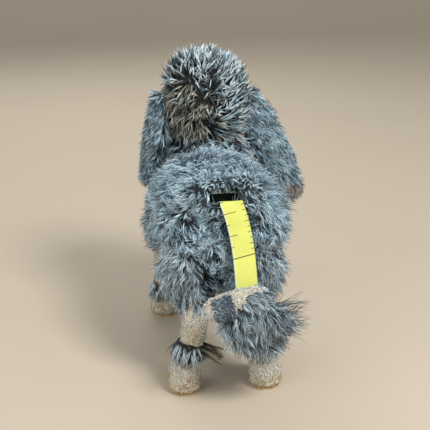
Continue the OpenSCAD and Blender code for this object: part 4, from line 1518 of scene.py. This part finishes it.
@dataclass
class Head:
    """The stuffed head with its coarse topknot, muzzle, nose and sewn mouth.

    Attributes:
        half: Half height of the skull.
        pile: Depth of the coat, by which the skin lies inside the solid.
        bluntness: Squareness of the skull.
    """

    half: float = 27 * MM
    pile: float = 1.2 * MM
    bluntness: float = 2.4

    def __post_init__(self) -> None:
        """Takes the skull's middle and size from the frame."""
        middle, (self.radius, _, height) = box_of("head_cover")
        self.base = middle[2] - height
        self.middle = middle + (height - self.half) * UP
        self.whorl = self.middle + np.array([-4 * MM, -self.radius, -20 * MM])

    def build(self) -> None:
        """Makes skull, topknot, muzzle and eyes."""
        profile = blunt_profile(self.radius - self.pile, self.half - self.pile, self.bluntness, 44)
        profile[:, 1] = np.maximum(profile[:, 1], self.base + 0.3 * MM - self.middle[2])
        skull = loft("head_skin", turned_form(profile, 64) + self.middle)
        stuff(skull, cap=0.5)
        # the skull's plush is painted dark under the topknot, as the shade between its hairs
        haired = skull.data.attributes.new("haired", "FLOAT", "POINT")
        skin = Skin.of(skull)
        haired.data.foreach_set("value", self.under_hair(skin.points, skin.normals).astype(np.float32))
        dress(skull, "head", "Skull plush", "cream_plush", "head_cover", "head_stuffing", "topknot")
        top = Coat("Coarse crown mohair", locks=1500, hairs=2, length=9, width=0.85, rings=3, spread=0.8,
                   gather=0.5, fall=0.03, curl=0.3, turns=0.4, ragged=0.35, taper=0.3, patchy=0.2,
                   mixed=0.06, scatter=0.6, slot="pale_mohair")
        grown = skin.where(lambda at, up: self.under_hair(at, up) > 0.5)
        top.grow("topknot_mohair", "head", grown, self.groom, 41)
        # a short, near black under layer that stands for the shade between the topknot's hairs: painted shade
        under = Coat("Dark underfur", locks=1500, hairs=3, length=4, width=0.6, rings=2, spread=1.3,
                     curl=0.4, slot="pale_mohair")
        under.grow("topknot_under", "head", grown, self.under_groom, 42)
        muzzle = loft("muzzle_skin", self.muzzle())
        stuff(muzzle, cap=0.4)
        dress(muzzle, "head", "Cream plush", "cream_plush", "muzzle")
        fuzz = Coat("Cream fuzz", locks=1040, hairs=3, length=1.8, width=0.45, rings=2, spread=0.6,
                    curl=0.3, slot="cream_plush")
        face = skin.where(lambda at, up: (self.under_hair(at, up) < 0.5) & (at[:, 2] > self.base + 1 * MM))
        fuzz.grow("muzzle_fuzz", "head", Skin.of(muzzle), cream_groom, 48)
        fuzz.grow("face_fuzz", "head", face, cream_groom, 48)
        middle, _ = box_of("eye_right")
        aside, _, height = middle - self.middle[0] * RIGHT
        GlassFinish("Amber glass", float(self.middle[0]), float(aside), float(height)).build()
        for name in ("eye_left", "eye_right"):
            refinish(name, "Amber glass")

    def under_hair(self, at: Array, up: Array) -> Array:
        """Tells how far the topknot covers the skull.

        Args:
            at: The points.
            up: The normals there, which make no difference.

        Returns:
            1 on crown, nape and cheeks and 0 on the face and under the chin.
        """
        face = ease(at[:, 1], self.middle[1] + 10 * MM, self.middle[1] + 13 * MM)
        face = face * (1 - ease(at[:, 2], self.middle[2] + 9 * MM, self.middle[2] + 12 * MM))
        return (1 - face) * ease(at[:, 2], self.base + 1 * MM, self.base + 2.5 * MM)

    def groom(self, at: Array, up: Array) -> Style:
        """Combs the nape in a fan up to the right of its whorl and down on the left, which is olive.

        The crown stands up in pale tufts.

        Args:
            at: Roots of the hair.
            up: The skin's normals there.

        Returns:
            How the hair lies there.
        """
        aside = (at[:, 0] - self.middle[0]) / self.radius
        height = (at[:, 2] - self.middle[2]) / self.half
        low = ease(-height, 0.1, 0.8)
        crown = ease(height, 0.3, 0.75)
        fan = unit(at - self.whorl) + (1 - 0.9 * low)[:, None] * [0.35, 0, 0.1]
        left = 1 - ease(aside + 0.3 * mottle(at, 7, 48), -0.5, 0.5)
        left = left * (1 - ease(height + 0.2 * mottle(at, 7, 49), 0.2, 0.75))
        behind = 1 - ease(at[:, 1] - self.middle[1], -4 * MM, 8 * MM)
        comb = fan * (1 - left)[:, None] + (DOWN - 0.1 * RIGHT) * left[:, None]
        comb = comb + 0.45 * mottle(at, 6, 43)[:, None] * RIGHT
        olive = 0.9 * left * behind + 0.6 * mottle(at, 2.5, 45) + 0.2 * ease(-aside, 0.1, 0.5) - 0.5 * crown
        warm = np.clip(0.72 + 0.3 * mottle(at, 2, 46), 0.52, 0.99)
        shade = np.where(olive > 0.55, warm, cool(0.14 + 0.12 * mottle(at, 5, 44) + 0.1 * crown))
        lift = 0.22 + 0.4 * ease(height, 0.5, 0.9) + 0.15 * ease(np.abs(aside), 0.6, 0.95) + 0.3 * low
        return Style(comb, 0.92 + 0.2 * mottle(at, 8, 47) + 0.35 * low, shade, lift)

    def under_groom(self, at: Array, up: Array) -> Style:
        """Lays the short dark underfur the same way, near black as painted shade between the long hairs.

        Args:
            at: Roots of the hair.
            up: The skin's normals there.

        Returns:
            How the hair lies there.
        """
        style = self.groom(at, up)
        # painted shade: the underfur takes the darkest cool or warm shade
        style.shade = np.where(style.shade > 0.5, 0.52, 0.03)
        return style

    def muzzle(self) -> Array:
        """Works out the muzzle: rings round +Y that narrow to a rounded end.

        Returns:
            The rings, (rows, columns, 3).
        """
        middle, half = box_of("muzzle")
        start, tip = self.middle[1] + 8 * MM, middle[1] + half[1]
        run = np.linspace(0, 1, 34)[:, None]
        radius = (12.6 - 3.6 * ease(run, 0.0, 0.75) - 0.4 * run) * MM
        radius *= np.sqrt(np.clip(1 - ease(run, 0.84, 1.02) ** 2 * 0.96, 0.02, 1))
        c, s = np.cos(around(40)), np.sin(around(40))
        x = self.middle[0] + radius * c * (1 - 0.08 * np.abs(s))
        return np.stack([x, start + (tip - start) * run + 0 * x, middle[2] - radius * s * 0.94], -1)


# ---- Ears ----


class Side(Enum):
    """The dog's left or right, with the sign of its X direction."""

    LEFT = -1
    RIGHT = 1


@dataclass
class Ear:
    """One hanging ear: a leaf of cloth, long mohair outside and a short lining inside.

    Attributes:
        side: Which ear.
        turn: Turn about the vertical.
        hang: Angle outwards.
        length: Length of the leaf.
        lean: Turn of the leaf in its own plane.
        tuck: How far the leaf's top lies in towards the skull.
        width: Its greatest width.
        swell: Half of its thickness.
        bow: How far its edges lie in from its middle line.
        stand: How far it stands off its seam.
    """

    side: Side
    turn: float
    hang: float
    length: float
    lean: float = 0.0
    tuck: float = 4.5 * MM
    width: float = 33 * MM
    swell: float = 1.6 * MM
    bow: float = 2.5 * MM
    stand: float = 1.9 * MM

    def __post_init__(self) -> None:
        """Works out the ear's name, seam and turn."""
        self.name = f"ear_{self.side.name.lower()}"
        self.seam = joint_at(f"{self.name}_lift")
        self.turning = spin(2, self.turn) @ spin(1, -self.side.value * self.hang)

    def leaf(self) -> Array:
        """Works out the leaf: flat ovals that are narrow at the seam and widen below, bowed outwards.

        Returns:
            The rings, (rows, columns, 3).
        """
        run = np.linspace(0.02, 0.985, 40)[:, None]
        angle = np.arccos(1 - 2 * run)
        half = self.width / 2 * np.sin(angle) ** 0.75 * (0.95 - 0.1 * run)
        turn = around(26)
        y = half * np.cos(turn)
        x = self.swell * np.sqrt(np.sin(angle)) * np.sin(turn) + self.stand * self.side.value
        x = x - self.side.value * (self.bow * (y / self.width * 2) ** 2 + self.tuck * (1 - run) ** 1.5)
        local = np.stack([x, y, -self.length * run + 0 * y], -1) @ spin(0, self.lean).T
        return local @ self.turning.T + self.seam

    def build(self) -> None:
        """Makes leaf and hair."""
        leaf = loft(f"{self.name}_leaf", self.leaf())
        dress(leaf, self.name, "Dark backing", "grey_mohair", f"{self.name}_fur", f"{self.name}_lining")
        outward = self.turning @ (self.side.value * RIGHT)
        skin = Skin.of(leaf)
        outer = skin.where(lambda at, up: up @ outward > -0.3)
        inner = skin.where(lambda at, up: up @ outward <= -0.3)
        coat = Coat("Grey mohair", locks=1200 if self.side is Side.RIGHT else 850, hairs=5, length=7.5,
                    width=0.55, rings=4, spread=1.2, curl=1.1, turns=0.7, fall=0.2, gather=0.7, patchy=0.15)
        coat.grow(f"{self.name}_mohair", self.name, outer, self.groom, 51 + self.side.value)
        short = Coat("Dark mohair", locks=520, hairs=4, length=8, width=0.55, rings=3, spread=1.2, fall=0.1,
                     slot="felt_lining")
        short.grow(f"{self.name}_inner_mohair", self.name, inner, self.groom, 54 + self.side.value)

    def groom(self, at: Array, up: Array) -> Style:
        """Combs the left ear down in waves, and the right one across in arcs, with a rusty tip and painted
        shade along its back edge by the head.

        Args:
            at: Roots of the hair.
            up: The skin's normals there.

        Returns:
            How the hair lies there.
        """
        run = self.turning.T @ (at - self.seam).T
        z = -run[2] / self.length
        down, back = self.turning @ DOWN, self.turning @ [0, -1.0, 0]
        shade = 0.175 + 0.055 * self.side.value + 0.12 * mottle(at, 6, 58)
        length = 1 + 0.15 * mottle(at, 9, 59)
        if self.side is Side.LEFT:
            comb = down + 0.2 * back + 0.5 * mottle(at, 9, 57)[:, None] * back
            return Style(comb, length, cool(shade), 0.24)
        arc = 0.25 + 0.6 * ease(z, 0.3, 1.0) + 0.25 * mottle(at, 12, 60)
        comb = down * (0.3 + arc)[:, None] + [0.6, -0.1, 0]
        # painted shade: the right ear's back edge next to the head is darkened above the tip, standing for
        # the shadowed crevice between ear and head
        shade = shade - 0.32 * ease(-run[1] / self.width, 0.05, 0.35) * (1 - ease(z, 0.6, 0.75))
        return Style(comb, length, np.where(z > 0.84, 0.7, cool(shade)), 0.24)


# ---- Legs ----


class Pair(Enum):
    """Hind or front leg: rings from the sole upwards, as height, forward shift and three radii in mm.

    The radii are sideways, backwards and forwards.
    """

    HIND = (
        (1.3, 0, 7.0, 7.0, 17.6), (2.6, 0, 8.6, 8.6, 19.2), (6, 0, 9.1, 9.1, 18.8), (11, 0, 8.9, 8.8, 16.0),
        (16, 0, 8.2, 8.2, 11.5), (21, 0, 7.4, 7.5, 8.2), (27, 0, 7.0, 7.1, 7.1), (36, 0, 6.9, 6.9, 6.9),
        (44, 0.8, 7.4, 7.2, 7.4), (54, 6, 9.0, 8.6, 9.0), (64, 11, 10.0, 10.5, 10.5), (74, 16, 9.5, 12, 12),
    )
    FRONT = (
        (1.3, 0, 7.0, 7.0, 17.6), (2.6, 0, 8.6, 8.6, 19.2), (6, 0, 9.1, 9.1, 18.8), (10, 0, 8.6, 8.6, 15.5),
        (14, 0, 7.7, 7.9, 10.5), (19, 0, 7.1, 7.2, 7.6), (28, 0, 6.9, 6.9, 6.9), (42, 0, 6.9, 6.9, 6.9),
        (50, -0.8, 7.2, 7.0, 7.2), (60, -5, 8.6, 8.4, 8.4), (70, -9.5, 9.4, 9.6, 9.6),
        (77, -12, 9, 10.5, 10.5),
    )


@dataclass
class Leg:
    """One disc-jointed leg: shaved shin and foot, a furry thigh pad and an ankle pom.

    Attributes:
        pair: Hind or front.
        side: Left or right.
        lean: How far a hind shin leans in.
        bell: Radius and height of the ankle pom's band, in millimetres.
    """

    pair: Pair
    side: Side
    lean: float = 7 * MM
    bell: tuple[tuple[float, float], ...] = (
        (7.9, 2.5), (9.2, 3.2), (8.8, 7), (7.8, 10.5), (7.2, 13.1), (6.9, 13.4))

    def __post_init__(self) -> None:
        """Takes the leg's joint, foot and pad from the frame."""
        self.name = f"{self.pair.name.lower()}_{self.side.name.lower()}"
        self.body = f"{self.name}_leg"
        self.table = np.array(self.pair.value) * MM
        self.hinge = joint_at(f"{self.name}_swing")
        self.cuff_middle, self.cuff_half = box_of(f"{self.name}_cuff")
        middle, half = box_of(f"{self.name}_cover")
        self.pad_radius = middle[2] + half[2] - self.hinge[2]
        hind = self.pair is Pair.HIND
        self.lean = self.lean if hind else 0.0
        self.pad_thick = (19.5 if hind else 18) * MM
        self.fur_edge = (54 if hind else 58) * MM
        self.thigh_locks = 600 if hind else 440
        self.seed = (60 if hind else 70) + self.side.value

    def sway(self, z: Array) -> Array:
        """Returns how far a hind shin leans in towards the other one at a height, back out at the hip."""
        return -self.side.value * self.lean * ease(z, 6 * MM, 50 * MM) * (1 - ease(z, 54 * MM, 72 * MM))

    def limb(self) -> Array:
        """Works out shin and foot: egg-shaped rings, smoothly spaced from the sole to the hip.

        Returns:
            The rings, (rows, columns, 3).
        """
        foot, shin, thigh = np.linspace(1.3, 12, 14), np.linspace(13.2, 30, 12), np.linspace(33, 74, 16)
        z = np.concatenate([foot, shin, thigh]) * MM
        shift, aside, back, front = (smooth_through(z, self.table[:, 0], self.table[:, i])[:, None]
                                     for i in range(1, 5))
        c, s = np.cos(around(44)), np.sin(around(44))
        x = self.cuff_middle[0] + self.sway(z)[:, None] + aside * c
        y = self.cuff_middle[1] + shift + np.where(s > 0, front, back) * s
        return np.stack([x, y, z[:, None] + 0 * x], -1)

    def off_shin(self, path: Array) -> Array:
        """Moves hair that falls below the thigh out of the shin, and keeps it off the table.

        Args:
            path: Points of each hair, root first.

        Returns:
            The points, moved.
        """
        rel = path[..., :2] - self.cuff_middle[:2]
        rel[..., 0] -= self.sway(path[..., 2])
        rel[..., 1] -= np.interp(path[..., 2], self.table[:, 0], self.table[:, 1])
        reach = np.linalg.norm(rel, axis=-1)
        need = np.interp(path[..., 2], self.table[:, 0], self.table[:, 2:].max(1)) + 0.5 * MM
        push = np.where(path[..., 2] < self.fur_edge + 4 * MM, np.maximum(need - reach, 0), 0.0)
        path[..., :2] += rel / np.maximum(reach, 1e-6)[..., None] * push[..., None]
        return above_table(path)

    def pad(self) -> Array:
        """Works out the thigh pad: half a blunt barrel that lies against the body.

        Returns:
            The rings, (rows, columns, 3).
        """
        profile = blunt_profile(self.pad_radius - 1.6 * MM, self.pad_thick - 3 * MM, 2.6, 30)
        profile = profile[profile[:, 1] > 0]
        profile = np.concatenate([[[profile[0, 0] - 1 * MM, 0.4 * MM]], profile + [0, 0.8 * MM]])
        forward, up, out = np.moveaxis(turned_form(profile, 48), -1, 0)
        return self.hinge + np.stack([self.side.value * (out + 0.4 * MM), forward, self.side.value * up], -1)

    def build(self) -> None:
        """Makes skins, fuzz, thigh coat and ankle pom."""
        limb = loft(f"{self.name}_limb", self.limb())
        stuff(limb, cap=0.5)
        dress(limb, self.body, "Cream plush", "cream_plush", f"{self.name}_cover", f"{self.name}_stuffing")
        pad = loft(f"{self.name}_pad", self.pad())
        stuff(pad, cap=0.6)
        dress(pad, self.body, "Dark backing", "grey_mohair")
        skin = Skin.of(limb)
        fuzz = Coat("Cream fuzz", locks=1050, hairs=3, length=2.0, width=0.5, rings=2, spread=0.7, curl=0.4,
                    slot="cream_plush")
        shaved = skin.where(lambda at, up: (at[:, 2] < self.fur_edge) & (at[:, 2] > 1.6 * MM))
        fuzz.grow(f"{self.name}_fuzz", self.body, shaved, self.foot_groom, self.seed, guard=above_table)
        coat = Coat("Sooty mohair", locks=self.thigh_locks, hairs=6, length=9, width=0.52, rings=4,
                    spread=1.8, curl=1.4, turns=0.9, gather=0.55, ragged=0.3, stray=0.16, patchy=0.14)
        thigh = Skin.of(pad).where(lambda at, up: up[:, 0] * self.side.value > -0.2)
        coat.grow(f"{self.name}_thigh_mohair", self.body, thigh, self.thigh_groom, self.seed + 2)
        knee = Coat("Sooty mohair", locks=280, hairs=5, length=9, width=0.58, rings=3, spread=1.5, curl=1.3,
                    fall=0.4, gather=0.75, patchy=0.14)
        knee.grow(f"{self.name}_knee_mohair", self.body, skin.where(self.knee_area), self.thigh_groom,
                  self.seed + 3, guard=self.off_shin)
        self.make_cuff()

    def make_cuff(self) -> None:
        """Grows the ankle pom: flat locks that hang like a bell from a band round the shin."""
        foot = self.cuff_middle + self.sway(self.cuff_middle[2]) * RIGHT - self.cuff_half[2] * UP
        core = loft(f"{self.name}_cuff_band", turned_form(np.array(self.bell) * MM, 40) + foot)
        dress(core, self.body, "Dark backing", "grey_mohair", f"{self.name}_cuff")
        coat = Coat("Ankle mohair", locks=190, hairs=6, length=9.5, width=0.62, rings=3, spread=1.0,
                    curl=0.5, turns=0.4, fall=0.8, gather=0.75, ragged=0.3, stray=0.05, patchy=0.15,
                    sprout=0.1)
        band = Skin.of(core).where(lambda at, up: up[:, 2] < 0.6)
        coat.grow(f"{self.name}_cuff_mohair", self.body, band, self.cuff_groom, self.seed + 4,
                  guard=above_table)
        if self.pair is Pair.HIND and self.side is Side.LEFT:
            stiff = Coat("Dark mohair", locks=5, hairs=9, length=15, width=0.7, spread=1.3, gather=0.3,
                         curl=0.1, fall=0.1, ragged=0.1, taper=0.2, stray=0.02, scatter=0.05, sprout=0.2)
            stiff.grow(f"{self.name}_stiff_lock", self.body, band.where(self.stiff_area),
                       lambda at, up: Style([0.8, -0.1, -0.9], length=1, shade=0.66, lift=0.62),
                       self.seed + 5, guard=above_table)

    def stiff_area(self, at: Array, up: Array) -> Array:
        """Tells where the stiff stray lock grows: the band's right side, towards the back."""
        rel = (at - self.cuff_middle) / self.cuff_half[0]
        return (rel[:, 0] > 0.5) & (abs(rel[:, 1] + 0.3) < 0.25) & (rel[:, 2] > 0.1)

    def knee_area(self, at: Array, up: Array) -> Array:
        """Tells where the leg above its shaved part has fur: not on its inner side, which is in the body."""
        inner = (up[:, 0] * self.side.value < 0.2) & (at[:, 2] > 65 * MM)
        return (at[:, 2] >= self.fur_edge) & ~inner

    def foot_groom(self, at: Array, up: Array) -> Style:
        """Leaves cream curls that are worn to gold near the sole.

        Args:
            at: Roots of the hair.
            up: The skin's normals there.

        Returns:
            How the hair lies there.
        """
        style = cream_groom(at, up)
        worn = mottle(at, 5, 71) * 0.5 + 1 - at[:, 2] / (13 * MM)
        gold = np.clip(0.8 + 0.16 * mottle(at, 3, 72), 0.52, 0.98)
        style.shade = np.where(worn > 0.25, gold, style.shade)
        return style

    def thigh_groom(self, at: Array, up: Array) -> Style:
        """Combs the thigh down, outwards and a little back.

        Args:
            at: Roots of the hair.
            up: The skin's normals there.

        Returns:
            How the hair lies there.
        """
        swirl = 0.8 * mottle(at, 18, 73) + 0.7 * mottle(at, 6, 79)
        comb = turned(along(DOWN + [0.25 * self.side.value, -0.25, 0], up), up, swirl)
        shade = cool(0.26 + 0.1 * mottle(at, 7, 74) + 0.07 * mottle(at, 22, 75))
        return Style(comb, 1 + 0.15 * mottle(at, 12, 76), shade, 0.22 + 0.08 * mottle(at, 12, 77))

    def cuff_groom(self, at: Array, up: Array) -> Style:
        """Combs the ankle pom down in flat locks, longest at the top.

        Args:
            at: Roots of the hair.
            up: The skin's normals there.

        Returns:
            How the hair lies there.
        """
        rise = (at[:, 2] - self.cuff_middle[2] + self.cuff_half[2]) / (2 * self.cuff_half[2])
        comb = DOWN + 0.35 * mottle(at, 6, 80)[:, None] * RIGHT
        # painted light: the ankle pom gets a paler shade, as it hangs in the body's shadow
        return Style(comb, 0.5 + 0.5 * rise, cool(0.35 + 0.12 * mottle(at, 4, 78)), 0.05)


# ---- Stage ----


@dataclass(frozen=True)
class Studio:
    """Pale table, pale backdrop, three soft lamps and the camera.

    Attributes:
        camera_from_neck: Place of the camera from the head's joint.
        azimuth: Where the camera stands, turned from straight behind.
        elevation: How steeply it looks down.
        lens: Its focal length in millimetres.
    """

    camera_from_neck: tuple[float, float, float] = (-0.0775, -0.5548, 0.1440)
    azimuth: float = math.radians(-8.6)
    elevation: float = math.radians(19.55)
    lens: float = 75.35

    def build(self) -> None:
        """Sets table, light and camera."""
        bpy.context.scene.view_settings.view_transform = "Standard"
        self.make_table()
        self.make_light("Key", (0.35, -0.6, 0.85), size=0.3, power=9.5)
        self.make_light("Fill", (-0.8, -0.6, 0.45), size=0.7, power=4.0)
        self.make_light("Rim", (-0.1, 0.8, 0.7), size=0.6, power=3.0)
        self.make_world()
        lens = bpy.data.cameras.new("Camera")
        lens.lens, lens.sensor_width, lens.clip_start = self.lens, 36.0, 0.01
        a, e = self.azimuth, self.elevation
        back = Vector((math.sin(a) * math.cos(e), -math.cos(a) * math.cos(e), math.sin(e)))
        at = joint_at("head_turn") + self.camera_from_neck
        bpy.context.scene.camera = self.place("Camera", lens, at, back)

    def place(self, name: str, data: bpy.types.ID, at: Array | Vector, back: Vector) -> Piece:
        """Puts a lamp or a camera into the scene.

        Args:
            name: Its name.
            data: Its lamp or camera data.
            at: Its place.
            back: The direction that its back faces.

        Returns:
            The new object.
        """
        item = bpy.data.objects.new(name, data)
        item.location = at
        item.rotation_euler = back.to_track_quat("Z", "Y").to_euler()
        bpy.context.scene.collection.objects.link(item)
        return item

    def make_world(self) -> None:
        """Makes soft light from all round; the camera and glossy surfaces see a pale backdrop instead."""
        world = bpy.data.worlds.new("Soft studio")
        bpy.context.scene.world = world
        world.use_nodes = True
        sketch = Sketch(world.node_tree)
        light = sketch.add("Background", {"Color": "#eef2f5", "Strength": 0.42})
        seen = sketch.add("Background", {"Color": "#e9e6e0", "Strength": 1.0})
        path = sketch.add("LightPath").outputs
        direct = sketch.sum("MAXIMUM", path["Is Camera Ray"], path["Is Glossy Ray"])
        pick = sketch.add("MixShader", {0: direct, 1: light.outputs[0], 2: seen.outputs[0]})
        sketch.add("OutputWorld", {0: pick.outputs[0]})

    def make_table(self) -> None:
        """Makes the table as one large pale sheet that curves up far behind."""
        run = np.linspace(-3, 3, 61)[:, None]
        grid = np.stack(np.broadcast_arrays(np.linspace(-4, 4, 9), run, 1.2 * ease(run, 1.4, 3.0)), -1)
        rows, columns = grid.shape[:2]
        number = np.arange(rows * columns).reshape(rows, columns)
        quads = np.stack([number[:-1, :-1], number[:-1, 1:], number[1:, 1:], number[1:, :-1]], -1)
        table = mesh_piece("table", grid, quads.reshape(-1, 4))
        table.data.materials.append(bpy.data.materials["Pale table"])

    def make_light(self, name: str, at: tuple[float, float, float], size: float, power: float) -> None:
        """Adds a square soft lamp that faces the dog's middle.

        Args:
            name: The lamp's name.
            at: Its place.
            size: Its width.
            power: Its power in watts.
        """
        lamp = bpy.data.lights.new(name, "AREA")
        lamp.size, lamp.energy = size, power
        self.place(name, lamp, Vector(at), Vector(at) - Vector((0, 0, 0.09)))


def main() -> None:
    """Builds finishes, studio, tape, body, tail, head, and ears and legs."""
    logging.basicConfig(level=logging.INFO, format="%(name)s: %(message)s")
    for finish in FINISHES:
        finish.build()
    Studio().build()
    tape = TapeMeasure()
    tape.build()
    Torso().build(tape)
    Tail(tape.rake).build()
    Head().build()
    Ear(Side.LEFT, turn=math.radians(8), hang=math.radians(6), length=55 * MM).build()
    Ear(Side.RIGHT, turn=math.radians(-50), hang=math.radians(16), length=75 * MM, lean=math.radians(13),
        tuck=10 * MM).build()
    for pair in Pair:
        for side in Side:
            Leg(pair, side).build()


if __name__ == "__main__":
    main()
